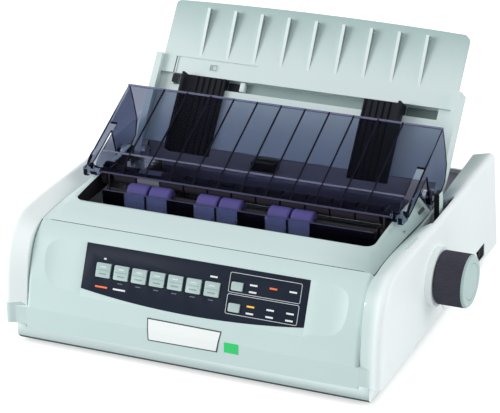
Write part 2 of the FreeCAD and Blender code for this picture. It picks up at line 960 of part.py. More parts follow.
def control_panel():
    plate = panel_plate(0, panel_proud - panel_thickness, panel_proud)
    holes = [panel_block(x - width / 2 - key_gap, x + width / 2 + key_gap,
                         up - height / 2 - key_gap, up + height / 2 + key_gap,
                         -panel_thickness * overrun, panel_thickness * overrun)
             for name, x, up, width, height in key_places()]
    return plate.cut(holes)


def panel_key(x, up, width, height):
    top = panel_proud + key_proud
    back = panel_proud - panel_thickness - key_gap
    cap = panel_block(x - width / 2, x + width / 2, up - height / 2, up + height / 2, back, top)
    rounded = [edge for edge in cap.Edges if abs(edge.tangentAt(edge.FirstParameter).dot(panel_out)) > 0.9]
    cap = cap.makeFillet(key_round, rounded)
    rim = key_gap + key_flange
    flange = panel_block(x - width / 2 - rim, x + width / 2 + rim, up - height / 2 - rim,
                         up + height / 2 + rim, back - key_flange_thickness, back)
    plunger = Part.makeCylinder(key_plunger_radius, key_plunger_length,
                                on_panel(x, up, back - key_flange_thickness), panel_out * -1)
    return joined([cap, flange, plunger])


def board_top():
    back = panel_proud - panel_thickness - key_gap - key_flange_thickness
    return back - key_plunger_length - key_travel - free_gap - switch_height


def panel_board():
    half = panel_width / 2 - panel_window_inset - overrun
    top = board_top()
    board = panel_block(-half, half, overrun, panel_height - 2 * overrun, top - board_thickness, top)
    switches = [panel_block(x - switch_width / 2, x + switch_width / 2, up - switch_width / 2,
                            up + switch_width / 2, top, top + switch_height)
                for name, x, up, width, height in key_places()]
    posts = [Part.makeCylinder(board_thickness, -wall - top, on_panel(x, up, top), panel_out)
             for x in (-half - overrun, half + overrun) for up in (2 * overrun, panel_height - 3 * overrun)]
    tabs = [panel_block(-half - 2 * overrun, 2 * overrun - half, overrun, panel_height - 2 * overrun,
                        top - board_thickness, top),
            panel_block(half - 2 * overrun, half + 2 * overrun, overrun, panel_height - 2 * overrun,
                        top - board_thickness, top)]
    return joined([board] + switches + tabs + posts)


def lamp(x, up, length, height):
    return panel_block(x - length / 2, x + length / 2, up - height / 2, up + height / 2,
                       panel_proud, panel_proud + lamp_thickness)


def panel_lamps():
    bars = [lamp(lamp_columns[column], lamp_rows[row], lamp_length, lamp_height) for column, row in lamp_grid]
    quiet_x = first_key_x + 6 * key_pitch
    bars.append(lamp(quiet_x, quiet_lamp_row, lamp_length, lamp_height))
    bars.append(lamp(power_lamp_x, power_lamp_row, power_lamp_length, lamp_height))
    bars.append(lamp(alarm_lamp_x, power_lamp_row, power_lamp_length, lamp_height))
    return group(bars)


# Top deck

def deck_form(front, drop, top_half, edge_half, rear):
    """Solid under the deck's skin, lowered by a drop and ending at a given rear."""
    run = rear - front
    tops = [(front + share * run, deck_height + rise * deck_rise - drop)
            for share, rise in zip(deck_station_shares, deck_rise_shares)]
    sides = [(front + share * run, deck_height - deck_edge_drop + swell * deck_edge_swell - drop)
             for share, swell in zip(deck_station_shares, deck_edge_shares)]
    bottom = deck_skirt_bottom - (overrun if drop else 0)

    def section(x, heights):
        skin = [V(x, y, z) for y, z in heights]
        low_rear = V(x, rear, bottom)
        low_front = V(x, front, bottom)
        return Part.Wire([smooth_edge(skin), straight_edge(skin[-1], low_rear),
                          straight_edge(low_rear, low_front), straight_edge(low_front, skin[0])])

    middle = Part.Face(section(-top_half, tops)).extrude(V(2 * top_half, 0, 0))
    side = Part.makeLoft([section(top_half, tops), section(edge_half, sides)], True, True)
    return joined([middle, side, mirrored(side)])


def opening_block(margin):
    half = opening_half + margin
    front = opening_front - margin
    rear = deck_front + deck_length + overrun
    tool = block(-half, half, front, rear, deck_skirt_bottom - 2 * overrun, side_height + deck_rise)
    corners = [edge for edge in tool.Edges
               if edge.BoundBox.ZLength > deck_rise and edge.BoundBox.YMax < front + overrun]
    return tool.makeFillet(opening_round, corners)


def deck_eye():
    y = cover_pivot_y
    z = cover_pivot_z
    x_high = opening_half + free_gap / 2 + deck_eye_thickness
    x_low = opening_half + free_gap / 2
    arm = side_slab([(y - deck_eye_reach, z - cover_eye_radius), (y, z - cover_eye_radius),
                     (y, z + cover_eye_radius), (y - deck_eye_reach, z + cover_eye_radius - wall)],
                    x_low, x_high)
    eye = joined([arm, bar_x(cover_eye_radius, x_low, x_high, y, z)])
    return eye


def deck_cover():
    rear = deck_front + deck_length
    shell = deck_form(deck_front, 0, deck_top_half, deck_half, rear)
    hollow = deck_form(deck_front + deck_wall, deck_wall, deck_top_half, deck_half - deck_wall,
                       rear - deck_wall)
    rim = shell.common(opening_block(deck_wall))
    body = joined([shell.cut(hollow), rim]).cut(opening_block(0))
    eye = deck_eye()
    body = joined([body, eye, mirrored(eye)])
    pin = bar_x(cover_pin_radius + running_gap, -case_half, case_half, cover_pivot_y, cover_pivot_z)
    return body.cut(pin)


# Hinge brackets

def hinge_bracket():
    """One bracket with the cover's ear and pin and the separator's ear and pin."""
    top = frame_mid_top + bracket_thickness
    foot = block(frame_outer, bracket_ear_outer, frame_flange_front + wall, frame_flange_rear - wall,
                 frame_mid_top, top)
    front_ear = side_slab([(cover_pivot_y - cover_eye_radius, frame_mid_top),
                           (cover_pivot_y + cover_eye_radius, frame_mid_top),
                           (cover_pivot_y + cover_eye_radius, cover_pivot_z),
                           (cover_pivot_y - cover_eye_radius, cover_pivot_z)],
                          bracket_ear_inner, bracket_ear_outer)
    front_round = bar_x(cover_eye_radius, bracket_ear_inner, bracket_ear_outer, cover_pivot_y, cover_pivot_z)
    front_pin = bar_x(cover_pin_radius, opening_half - wall / 2, shield_half + free_gap,
                      cover_pivot_y, cover_pivot_z)
    ear_outer = rail_inner - free_gap
    rear_ear = side_slab([(separator_pivot_y - rail_eye_radius, frame_mid_top),
                          (separator_pivot_y + rail_eye_radius, frame_mid_top),
                          (separator_pivot_y + rail_eye_radius, separator_pivot_z),
                          (separator_pivot_y - rail_eye_radius, separator_pivot_z)],
                         ear_outer - ear_thickness, ear_outer)
    rear_round = bar_x(rail_eye_radius, ear_outer - ear_thickness, ear_outer,
                       separator_pivot_y, separator_pivot_z)
    rear_pin = bar_x(cover_pin_radius, ear_outer - ear_thickness, separator_half + free_gap,
                     separator_pivot_y, separator_pivot_z)
    return joined([foot, front_ear, front_round, front_pin, rear_ear, rear_round, rear_pin])


# Smoked shield

def shield_profile():
    """Outer line of the shield from the lip to the rear edge."""
    lip_top = (lip_y + lip_step, lip_z + lip_step * math.sin(math.radians(separator_lean)))
    points = [(lip_y, lip_z - lip_flange), (lip_y, lip_z), lip_top]
    run = bead_y - lip_top[0]
    rise = bead_z - lip_top[1]
    length = math.hypot(run, rise)
    for step in range(1, nose_steps):
        share = step / nose_steps
        bulge = nose_bulge * math.sin(math.pi * share)
        points.append((lip_top[0] + share * run - bulge * rise / length,
                       lip_top[1] + share * rise + bulge * run / length))
    points += [(bead_y, bead_z), (shield_rear_y, shield_rear_z)]
    return points


def shield_sheet_slab(points, lift, depth, x_low, x_high):
    outer = inset(points, -lift)
    inner = inset(points, depth)
    return side_slab(outer + inner[::-1], x_low, x_high)


def shield_line_z(y):
    slope = (shield_rear_z - bead_z) / (shield_rear_y - bead_y)
    return bead_z + (y - bead_y) * slope


def shield_cheek():
    """Side wall that narrows to the hinge eye."""
    size = shield_rear_z - cover_pivot_z
    tail = [(shield_rear_y + share_y * size, shield_rear_z + share_z * size)
            for share_y, share_z in shield_cheek_shares]
    rear = smooth_edge([V(0, shield_rear_y, shield_rear_z)] + [V(0, y, z) for y, z in tail[:2]])
    curve = [(point.y, point.z) for point in rear.discretize(8)]
    eye_front = (cover_pivot_y - cover_eye_radius, cover_pivot_z)
    eye_rear = (cover_pivot_y + cover_eye_radius, cover_pivot_z)
    diagonal = (notch_rear + wall, shield_line_z(notch_rear) - shield_strip)
    strip_front = (bead_y, bead_z - shield_strip)
    front = (lip_y + lip_step + wall, lip_z - lip_flange)
    nose = (lip_y + 2 * lip_step, lip_z + lip_step)
    outline = [nose, (bead_y, bead_z)] + curve + tail[2:]
    outline += [eye_rear, eye_front, diagonal, strip_front, front]
    wall_slab = side_slab(outline, shield_half - shield_wall, shield_half)
    boss = bar_x(cover_eye_radius, shield_half - shield_boss_length, shield_half,
                 cover_pivot_y, cover_pivot_z)
    return [wall_slab, boss]


def shield_tab():
    """Clear end tab that rests over the deck at the shield's front corner."""
    rest = deck_height + deck_rise * tab_seat_share + seat_gap
    y = lip_y - tab_setback + tab_radius / 2
    z = rest + tab_radius
    inner = notch_inner - tab_length
    knob = bar_x(tab_radius, inner, notch_inner + overrun, y, z)
    outer = shield_half - free_gap
    lump = block(outer - tab_block_length, outer, y - tab_block_depth / 2, y + tab_block_depth / 2,
                 rest, rest + 2 * tab_radius)
    lump = lump.makeFillet(overrun, lump.Edges)
    bridge = block(notch_inner - overrun, outer - overrun, y - tab_radius / 2, y + tab_radius / 2,
                   rest + tab_radius / 2, rest + 2 * tab_radius - tab_radius / 2)
    return [knob, lump, bridge]


def smoked_shield():
    profile = shield_profile()
    sheet = shield_sheet_slab(profile, 0, shield_sheet, -shield_half, shield_half)
    front_trim = block(notch_inner, case_half, 0, notch_front, 0, case_width)
    notch = block(notch_inner, shield_half - shield_wall, notch_front - overrun, notch_rear,
                  0, case_width)
    sheet = sheet.cut([front_trim, mirrored(front_trim), notch, mirrored(notch)])
    ribs = [shield_sheet_slab(profile[1:], shield_rib_height, shield_sheet / 2,
                              shield_rib_pitch * index - shield_rib_width / 2,
                              shield_rib_pitch * index + shield_rib_width / 2)
            for index in range(-shield_rib_pairs, shield_rib_pairs + 1)]
    beads = [bar_x(shield_bead_radius, -notch_inner, notch_inner, bead_y, bead_z),
             bar_x(shield_bead_radius, -shield_half, shield_half, shield_rear_y, shield_rear_z)]
    sides = shield_cheek() + shield_tab()
    body = joined([sheet] + ribs + beads + sides + [mirrored(side) for side in sides])
    pin = bar_x(cover_pin_radius + running_gap, -case_half, case_half, cover_pivot_y, cover_pivot_z)
    return body.cut(pin)


# Sheet separator, modelled flat and then leaned back about its pivot

def leaned(shape):
    turned = shape.copy()
    turned.rotate(V(0, 0, 0), V(1, 0, 0), separator_lean)
    turned.translate(V(0, separator_pivot_y, separator_pivot_z))
    return turned


def separator_outline(margin, bottom):
    half = rail_inner + free_gap - margin
    side_top = separator_side_length - margin
    corner = separator_corner
    points = [V(-half, bottom, 0), V(-half, side_top - corner, 0), V(corner - half, side_top, 0),
              V(0, side_top + separator_bow, 0), V(half - corner, side_top, 0),
              V(half, side_top - corner, 0), V(half, bottom, 0)]
    bend = corner * (1 - math.sin(math.radians(45)))
    left = V(bend - half, side_top - bend, 0)
    right = V(half - bend, side_top - bend, 0)
    edges = [straight_edge(points[0], points[1]), Part.Arc(points[1], left, points[2]).toShape(),
             Part.Arc(points[2], points[3], points[4]).toShape(),
             Part.Arc(points[4], right, points[5]).toShape(), straight_edge(points[5], points[6]),
             straight_edge(points[6], points[0])]
    return Part.Face(Part.Wire(edges))


def separator_rail():
    profile = [(0, rail_eye_radius), (rail_length / 3, rail_front), (rail_length, rail_front),
               (rail_length, -rail_back), (rail_length / 3, -rail_back), (0, -rail_eye_radius)]
    rail = side_slab(profile, rail_inner, separator_half)
    return joined([rail, bar_x(rail_eye_radius, rail_inner, separator_half, 0, 0)])


def separator_rib(x):
    points = [(rib_start, separator_face - wall / 2), (rib_end, separator_face - wall / 2),
              (rib_end, separator_face + rib_height), (rib_start, separator_face)]
    return side_slab(points, x - rib_width / 2, x + rib_width / 2)


def separator():
    depth = separator_face + separator_back
    upper = separator_outline(0, channel_top).extrude(V(0, 0, depth))
    upper.translate(V(0, 0, -separator_back))
    pocket = separator_outline(separator_sheet, channel_top + separator_sheet).extrude(V(0, 0, depth))
    pocket.translate(V(0, 0, -separator_back - separator_sheet))
    upper = upper.cut(pocket)
    stop = block(stop_plate_left, stop_plate_left + stop_plate_width, channel_top - overrun,
                 channel_top + stop_plate_height, separator_face - stop_plate_depth, separator_face + overrun)
    half = rail_inner + free_gap
    lower = block(-half, half, separator_start, channel_bottom, -separator_sheet, 0)
    trough = block(-half, half, channel_bottom - channel_lip, channel_top + channel_lip,
                   -channel_floor - separator_sheet, 0)
    bay = block(-channel_half, channel_half, channel_bottom, channel_top, -channel_floor, overrun)
    rail = separator_rail()
    ribs = [separator_rib(rib_pitch * index) for index in range(-rib_pairs, rib_pairs + 1)]
    body = joined([upper.cut(stop), lower, trough, rail, mirrored(rail)] + ribs).cut(bay)
    pin = bar_x(cover_pin_radius + running_gap, -case_half, case_half, 0, 0)
    return leaned(body.cut(pin))


def paper_guide(outer, width, side):
    """One sliding guide with its fence on the outer side and its runner in the channel."""
    inner = outer - side * width
    low = min(outer, inner)
    high = max(outer, inner)
    front = guide_lift + guide_thickness
    plate = block(low, high, guide_bottom, channel_bottom + wall, guide_lift, front)
    runner = block(low, high, channel_bottom + free_gap, channel_top - free_gap,
                   free_gap - channel_floor, front)
    fence_low = min(outer, outer - side * fence_thickness)
    fence = block(fence_low, fence_low + fence_thickness, guide_bottom, channel_top - free_gap,
                  guide_lift, fence_height)
    body = joined([plate, runner, fence])
    count = int((width - 2 * fence_thickness) / guide_groove_pitch)
    grooves = []
    for index in range(count):
        x = inner + side * guide_groove_pitch * (index + 0.5)
        grooves.append(block(x - guide_groove_width / 2, x + guide_groove_width / 2,
                             guide_bottom - overrun, channel_top, front - guide_groove_depth,
                             front + overrun))
    return leaned(body.cut(grooves))


# Platen

def platen_roller():
    roller = bar_x(platen_radius, -platen_half, platen_half, platen_y, platen_z)
    bore = bar_x(platen_shaft_radius, -case_half, case_half, platen_y, platen_z)
    roller = roller.cut(bore)
    ends = [edge for edge in roller.Edges if edge.BoundBox.ZLength > platen_radius]
    return roller.makeChamfer(free_gap, ends)


def platen_shaft():
    return bar_x(platen_shaft_radius, gear_low_x - overrun, knob_start + knob_length / 2, platen_y, platen_z)


def platen_gear():
    return gear(platen_teeth, platen_centre, 0, platen_shaft_radius)


def knob_outline(x):
    corners = []
    for index in range(2 * knob_flutes):
        radius = knob_radius - (knob_flute_depth if index % 2 else 0)
        angle = math.pi * index / knob_flutes
        corners.append(V(x, platen_y + radius * math.cos(angle), platen_z + radius * math.sin(angle)))
    return Part.makePolygon(corners + corners[:1])


def platen_knob():
    barrel = Part.Face(knob_outline(knob_start)).extrude(V(knob_length, 0, 0))
    socket = bar_x(platen_shaft_radius, knob_start - overrun, knob_start + knob_length / 2,
                   platen_y, platen_z)
    return barrel.cut(socket)


def knob_cap():
    start = knob_start + knob_length
    cap = bar_x(knob_cap_radius, start, knob_end, platen_y, platen_z)
    rim = [edge for edge in cap.Edges
           if edge.BoundBox.ZLength > knob_cap_radius and edge.BoundBox.XMin > knob_end - free_gap]
    cap = cap.makeFillet(knob_cap_length / 2, rim)
    ring = bar_x(knob_disc_radius, knob_end - knob_disc_depth, knob_end + overrun, platen_y, platen_z)
    disc = bar_x(knob_disc_radius - free_gap, knob_end - 2 * knob_disc_depth, knob_end - free_gap / 4,
                 platen_y, platen_z)
    return joined([cap.cut(ring), disc])


# Frames and bushes

def frame_plate():
    points = [(frame_front, tray_inside), (frame_front, frame_low_top), (frame_step, frame_low_top),
              (frame_step, frame_mid_top), (frame_ear_front - wall, frame_mid_top),
              (frame_ear_front, frame_ear_top), (frame_ear_rear, frame_ear_top),
              (frame_ear_rear + wall, frame_mid_top), (frame_rear, frame_mid_top), (frame_rear, tray_inside)]
    plate = side_slab(points, frame_inner, frame_outer)
    flange = block(frame_inner, frame_outer + frame_flange_reach, frame_flange_front, frame_flange_rear,
                   frame_mid_top - frame_thickness, frame_mid_top)
    base = block(frame_inner, frame_outer + frame_flange_reach, frame_front + overrun, frame_rear - overrun,
                 tray_inside, tray_inside + frame_thickness)
    body = joined([plate, flange, base])
    reach = (frame_inner - overrun, frame_outer + overrun)
    holes = [bar_x(bush_radius, *reach, platen_y, platen_z),
             bar_x(guide_shaft_radius, *reach, guide_shaft_y, guide_shaft_z),
             bar_x(pull_shaft_radius + running_gap, *reach, pull_y, pull_z),
             bar_x(tractor_shaft_radius + running_gap, *reach, tractor_y, tractor_z),
             bar_x(tractor_support_radius, *reach, tractor_support_y, tractor_z)]
    return body.cut(holes)


def bail_stud():
    return bar_x(stud_radius, bail_arm_outer - bail_arm_thickness - free_gap, frame_inner + free_gap,
                 bail_pivot_y, bail_pivot_z)


def left_side_frame():
    body = mirrored(frame_plate().fuse(bail_stud()))
    studs = [bar_x(stud_radius, gear_low_x - free_gap, -frame_outer + free_gap, *centre)
             for centre in (pull_idler_centre, tractor_idler_centre)]
    return joined([body] + studs)


def right_side_frame():
    body = frame_plate().fuse(bail_stud())
    stud = bar_x(lever_stud_radius, frame_outer - free_gap, lever_x + lever_stem_width,
                 lever_y, lever_pivot_z)
    return joined([body, stud])


def shaft_bush():
    sleeve = bar_x(bush_radius, frame_inner - bush_flange, frame_inner - bush_flange + bush_length,
                   platen_y, platen_z)
    flange = bar_x(bush_flange_radius, frame_inner - bush_flange, frame_inner, platen_y, platen_z)
    bore = bar_x(platen_shaft_radius + running_gap, frame_inner - bush_length, frame_outer + bush_length,
                 platen_y, platen_z)
    return joined([sleeve, flange]).cut(bore)


# Pull-up roller, bail and tear bar

def pull_up_roller():
    shaft = bar_x(pull_shaft_radius, gear_low_x, frame_outer + overrun, pull_y, pull_z)
    segments = [bar_x(pull_radius, shield_rib_pitch * index - pull_segment / 2,
                      shield_rib_pitch * index + pull_segment / 2, pull_y, pull_z)
                for index in range(-shield_rib_pairs, shield_rib_pairs + 1)]
    wheel = gear(pull_teeth, pull_centre, pull_phase, pull_shaft_radius - free_gap)
    return joined([shaft, wheel] + segments)


def bail_arm():
    x_low = bail_arm_outer - bail_arm_thickness
    ends = [(bail_pivot_y, bail_pivot_z), (bail_y, bail_z)]
    run = ends[1][0] - ends[0][0]
    rise = ends[1][1] - ends[0][1]
    length = math.hypot(run, rise)
    across_y = bail_arm_radius * rise / length
    across_z = bail_arm_radius * run / length
    outline = [(y + across_y, z - across_z) for y, z in ends]
    outline += [(y - across_y, z + across_z) for y, z in reversed(ends)]
    arm = [side_slab(outline, x_low, bail_arm_outer)]
    arm += [bar_x(bail_arm_radius, x_low, bail_arm_outer, y, z) for y, z in ends]
    tear_seat = block(x_low, bail_arm_outer, tear_front + tear_thickness, bail_y,
                      tear_bottom, tear_bottom + 2 * bail_arm_radius)
    hole = bar_x(stud_radius + running_gap, x_low - overrun, bail_arm_outer + overrun,
                 bail_pivot_y, bail_pivot_z)
    return joined(arm + [tear_seat]).cut(hole)


def bail_rod():
    rod = bar_x(bail_rod_radius, -bail_arm_outer, bail_arm_outer, bail_y, bail_z)
    arm = bail_arm()
    return joined([rod, arm, mirrored(arm)])


def pinch_rollers():
    rollers = []
    for index in (-1, 0, 1):
        centre = pinch_centre + index * pinch_pitch
        for side in (-1, 1):
            middle = centre + side * (pinch_width + pinch_gap) / 2
            roller = bar_x(pinch_radius, middle - pinch_width / 2, middle + pinch_width / 2, bail_y, bail_z)
            rims = [edge for edge in roller.Edges if edge.BoundBox.XLength < free_gap]
            rollers.append(roller.makeFillet(overrun, rims))
    bore = bar_x(bail_rod_radius + running_gap, -case_half, case_half, bail_y, bail_z)
    return group([roller.cut(bore) for roller in rollers])


def tear_bar():
    half = bail_arm_outer
    count = int(2 * half / tear_tooth_pitch)
    top = []
    for index in range(count):
        x = half - index * tear_tooth_pitch
        top += [(x, tear_top), (x - tear_tooth_pitch / 2, tear_top + tear_tooth_height)]
    outline = [(-half, tear_bottom), (half, tear_bottom)] + top + [(-half, tear_top)]
    corners = [V(x, tear_front, z) for x, z in outline]
    blade = Part.Face(Part.makePolygon(corners + corners[:1])).extrude(V(0, tear_thickness, 0))
    ribs = []
    for index in range(-shield_rib_pairs, shield_rib_pairs + 1):
        x = shield_rib_pitch * index
        ribs.append(block(x - tear_rib_width / 2, x + tear_rib_width / 2, tear_front - tear_rib_depth,
                          tear_front, tear_bottom, tear_rib_top))
    return joined([blade] + ribs)


# Carriage, head and ribbon cartridge

def print_carriage():
    x_low = carriage_home - carriage_half
    x_high = carriage_home + carriage_half
    saddle = block(x_low, x_high, guide_shaft_y - carriage_block_half_y,
                   guide_shaft_y + carriage_block_half_y, guide_shaft_z - carriage_block_half_z,
                   carriage_deck)
    shelf = block(x_low, x_high, guide_shaft_y, carriage_rear, carriage_deck - carriage_deck_thickness,
                  carriage_deck)
    belt_front = pulley_y - pulley_radius - belt_thickness
    clamp_low = belt_front - free_gap - clamp_wall
    clamp_high = belt_front + belt_thickness + free_gap + clamp_wall
    clamp = block(carriage_home - clamp_half, carriage_home + clamp_half, clamp_low, clamp_high,
                  pulley_z - free_gap, guide_shaft_z - carriage_block_half_z + overrun)
    belt_slot = block(carriage_home - clamp_half - overrun, carriage_home + clamp_half + overrun,
                      clamp_low + clamp_wall, clamp_high - clamp_wall,
                      pulley_z - overrun, pulley_z + pulley_width + free_gap)
    bore = bar_x(guide_shaft_radius + running_gap, x_low - overrun, x_high + overrun,
                 guide_shaft_y, guide_shaft_z)
    return joined([saddle, shelf, clamp.cut(belt_slot)]).cut(bore)


def print_head():
    x_low = carriage_home - head_half
    x_high = carriage_home + head_half
    body = block(x_low, x_high, head_front, head_rear, carriage_deck, head_top)
    count = int(2 * head_half / head_fin_pitch)
    slots = [block(x_low + head_fin_pitch * (index + 1) - head_fin_slot,
                   x_low + head_fin_pitch * (index + 1), head_front - overrun, head_front + head_fin_depth,
                   carriage_deck + head_fin_slot, head_top + overrun)
             for index in range(count)]
    nose_front = platen_y - platen_radius - head_nose_gap
    nose = block(carriage_home - head_nose_half, carriage_home + head_nose_half, head_rear - overrun,
                 nose_front, platen_z - head_nose_height / 2, platen_z + head_nose_height / 2)
    return joined([body.cut(slots), nose])


def ribbon_cartridge():
    low = head_top + cartridge_lift
    x_low = carriage_home - cartridge_half
    x_high = carriage_home + cartridge_half
    shell = block(x_low, x_high, cartridge_front, cartridge_rear, low, low + cartridge_height)
    corners = [edge for edge in shell.Edges if edge.BoundBox.ZLength > cartridge_height / 2]
    shell = shell.makeFillet(cartridge_round, corners)
    leg_far = head_half + overrun + cartridge_round
    leg_near = head_half + free_gap
    leg_front = head_front + head_fin_depth
    leg = block(carriage_home - leg_far, carriage_home - leg_near, leg_front, head_rear,
                carriage_deck, low + overrun)
    other_leg = block(carriage_home + leg_near, carriage_home + leg_far, leg_front, head_rear,
                      carriage_deck, low + overrun)
    middle_y = (cartridge_front + cartridge_rear) / 2
    knob = bar_z(ribbon_knob_radius, carriage_home + ribbon_knob_offset, middle_y,
                 low + cartridge_height / 2, low + cartridge_height + ribbon_knob_height)
    return joined([shell, leg, other_leg, knob])


def carriage_guide_shaft():
    reach = frame_outer + overrun
    return bar_x(guide_shaft_radius, -reach, reach, guide_shaft_y, guide_shaft_z)


# Belt drive

def pulley(x, bore_radius):
    flange_radius = pulley_radius + pulley_flange
    low = pulley_z - pulley_flange_thickness
    high = pulley_z + pulley_width
    wheel = joined([bar_z(pulley_radius, x, pulley_y, low, high + pulley_flange_thickness),
                    bar_z(flange_radius, x, pulley_y, low, pulley_z),
                    bar_z(flange_radius, x, pulley_y, high, high + pulley_flange_thickness)])
    if bore_radius:
        wheel = wheel.cut(bar_z(bore_radius, x, pulley_y, low - overrun, high + overrun))
    return wheel


def drive_pulley():
    motor_top = tray_inside + carriage_motor_height
    shaft = bar_z(motor_shaft_radius, -pulley_x, pulley_y, motor_top - carriage_motor_height / 2, pulley_z)
    return joined([pulley(-pulley_x, 0), shaft])


def idle_pulley():
    return pulley(pulley_x, stud_radius + running_gap)


def belt_loop(radius, z_low, z_high):
    straight = block(-pulley_x, pulley_x, pulley_y - radius, pulley_y + radius, z_low, z_high)
    return joined([straight, bar_z(radius, -pulley_x, pulley_y, z_low, z_high),
                   bar_z(radius, pulley_x, pulley_y, z_low, z_high)])


def carriage_belt():
    low = pulley_z + (pulley_width - belt_width) / 2
    high = low + belt_width
    inner = pulley_radius + running_gap
    return belt_loop(inner + belt_thickness, low, high).cut(belt_loop(inner, low - overrun, high + overrun))


def carriage_motor():
    top = tray_inside + carriage_motor_height
    can = bar_z(carriage_motor_radius, -pulley_x, pulley_y, tray_inside, top)
    return can.cut(bar_z(motor_shaft_radius + running_gap, -pulley_x, pulley_y,
                         top - carriage_motor_height / 2, top + overrun))


# Line feed motor

def line_feed_motor():
    y, z = pinion_centre
    plate_high = gear_low_x - free_gap
    plate_low = plate_high - feed_plate_thickness
    can = bar_x(feed_motor_radius, plate_low - feed_motor_length, plate_low, y, z)
    plate = block(plate_low, plate_high, y - feed_plate_half, y + feed_plate_half,
                  z - feed_plate_half, z + feed_plate_half)
    clear = bar_x(platen_shaft_radius + shaft_hole_gap, plate_low - overrun, plate_high + overrun,
                  platen_y, platen_z)
    offset = feed_plate_half - feed_post_radius
    posts = [bar_x(feed_post_radius, plate_low, -frame_outer, y + dy, z + dz)
             for dy, dz in ((-offset, -offset), (offset, -offset), (-offset, offset))]
    bore = bar_x(motor_shaft_radius + running_gap, plate_low - feed_motor_length / 2,
                 plate_high + overrun, y, z)
    return joined([can, plate.cut(clear)] + posts).cut(bore)


def line_feed_pinion():
    wheel = gear(pinion_teeth, pinion_centre, pinion_phase, motor_shaft_radius - free_gap)
    shaft = bar_x(motor_shaft_radius, gear_low_x - free_gap - feed_plate_thickness - feed_motor_length / 2
                  + free_gap, gear_high_x, *pinion_centre)
    return joined([wheel, shaft])


def pull_up_idler():
    return gear(pull_idler_teeth, pull_idler_centre, pull_idler_phase, stud_radius + running_gap)


def tractor_idler():
    return gear(tractor_idler_teeth, tractor_idler_centre, tractor_idler_phase, stud_radius + running_gap)


# Paper chute with the carriage's rear rail

def chute_arc(radius, steps):
    sweep = chute_end_angle - chute_start_angle
    return [polar(platen_centre, radius, chute_start_angle + sweep * step / steps)
            for step in range(steps + 1)]


def paper_chute():
    steps = 16
    inner_radius = platen_radius + chute_gap
    inner = chute_arc(inner_radius, steps)
    outer = chute_arc(inner_radius + chute_thickness, steps)
    slope = math.radians(chute_ramp_angle)
    ramp = (chute_ramp_length * math.cos(slope), chute_ramp_length * math.sin(slope))
    inner.append((inner[-1][0] + ramp[0], inner[-1][1] + ramp[1]))
    outer.append((outer[-1][0] + ramp[0], outer[-1][1] + ramp[1]))
    trough = side_slab(inner + outer[::-1], -chute_half, chute_half)
    rail = block(-frame_inner, frame_inner, rail_y_low, rail_y_high, rail_z_low, rail_z_high)
    web_end = polar(platen_centre, inner_radius + chute_thickness / 2, chute_start_angle)
    web = block(-chute_half, chute_half, rail_y_low, platen_y, rail_z_low, rail_z_low + chute_web_height)
    web = web.cut(bar_x(inner_radius, -case_half, case_half, platen_y, platen_z))
    foot = block(-chute_half, chute_half, web_end[0] - wall, web_end[0] + chute_thickness,
                 rail_z_low, web_end[1] - chute_thickness)
    foot = foot.cut(bar_x(inner_radius, -case_half, case_half, platen_y, platen_z))
    return joined([trough, rail, web, foot])


# Tractors

def tractor_shaft():
    side = math.sqrt(2) * tractor_shaft_radius
    half = frame_inner - free_gap
    square = block(-half, half, tractor_y - side / 2, tractor_y + side / 2, tractor_z - side / 2,
                   tractor_z + side / 2)
    round_bar = bar_x(tractor_shaft_radius, gear_low_x, frame_outer + overrun, tractor_y, tractor_z)
    wheel = gear(tractor_teeth, tractor_centre_line, tractor_phase, tractor_shaft_radius - free_gap)
    return joined([square, round_bar, wheel])


def tractor_body(side):
    x_low = side * tractor_centre - tractor_width / 2
    x_high = x_low + tractor_width
    body = block(x_low, x_high, tractor_front, tractor_rear, tractor_low, tractor_top)
    ends = [edge for edge in body.Edges if edge.BoundBox.XLength > tractor_width / 2]
    body = body.makeFillet(cartridge_round, ends)
    middle = (tractor_front + tractor_rear) / 2
    pins = [bar_z(tractor_pin_radius, side * tractor_centre,
                  middle + tractor_pin_pitch * (index - (tractor_pins - 1) / 2), tractor_top - overrun,
                  tractor_top + tractor_pin_height)
            for index in range(tractor_pins)]
    hinge_x = side * (tractor_centre + tractor_width / 2 - gate_hinge_radius)
    hinge_z = tractor_top + gate_lift
    lugs = [block(hinge_x - gate_hinge_radius, hinge_x + gate_hinge_radius, y, y + gate_knuckle,
                  tractor_top - overrun, hinge_z + gate_hinge_radius / 2)
            for y in (tractor_front + cartridge_round, tractor_rear - cartridge_round - gate_knuckle)]
    rod = bar_y(gate_hinge_radius / 2, hinge_x, tractor_front + cartridge_round,
                tractor_rear - cartridge_round, hinge_z)
    reach = (x_low - overrun, x_high + overrun)
    holes = [bar_x(tractor_shaft_radius + running_gap, *reach, tractor_y, tractor_z),
             bar_x(tractor_support_radius + running_gap, *reach, tractor_support_y, tractor_z)]
    return joined([body, rod] + pins + lugs).cut(holes)


def tractor_gate(side):
    hinge_x = side * (tractor_centre + tractor_width / 2 - gate_hinge_radius)
    hinge_z = tractor_top + gate_lift
    far_x = side * (tractor_centre - tractor_width / 2)
    y_low = tractor_front + cartridge_round + gate_knuckle + free_gap
    y_high = tractor_rear - cartridge_round - gate_knuckle - free_gap
    low = min(far_x, hinge_x)
    high = max(far_x, hinge_x)
    lid = block(low, high, y_low, y_high, hinge_z - gate_thickness / 2, hinge_z + gate_thickness / 2)
    barrel = bar_y(gate_hinge_radius, hinge_x, y_low, y_high, hinge_z)
    slot = block(side * tractor_centre - tractor_pin_radius - free_gap,
                 side * tractor_centre + tractor_pin_radius + free_gap, y_low - overrun, y_high - 2 * overrun,
                 hinge_z - gate_thickness, hinge_z + gate_thickness)
    bore = bar_y(gate_hinge_radius / 2 + running_gap, hinge_x, y_low - overrun, y_high + overrun, hinge_z)
    return joined([lid.cut(slot), barrel]).cut(bore)


def tractor_support_shaft():
    return bar_x(tractor_support_radius, -frame_outer - overrun, frame_outer + overrun,
                 tractor_support_y, tractor_z)


# Feed lever

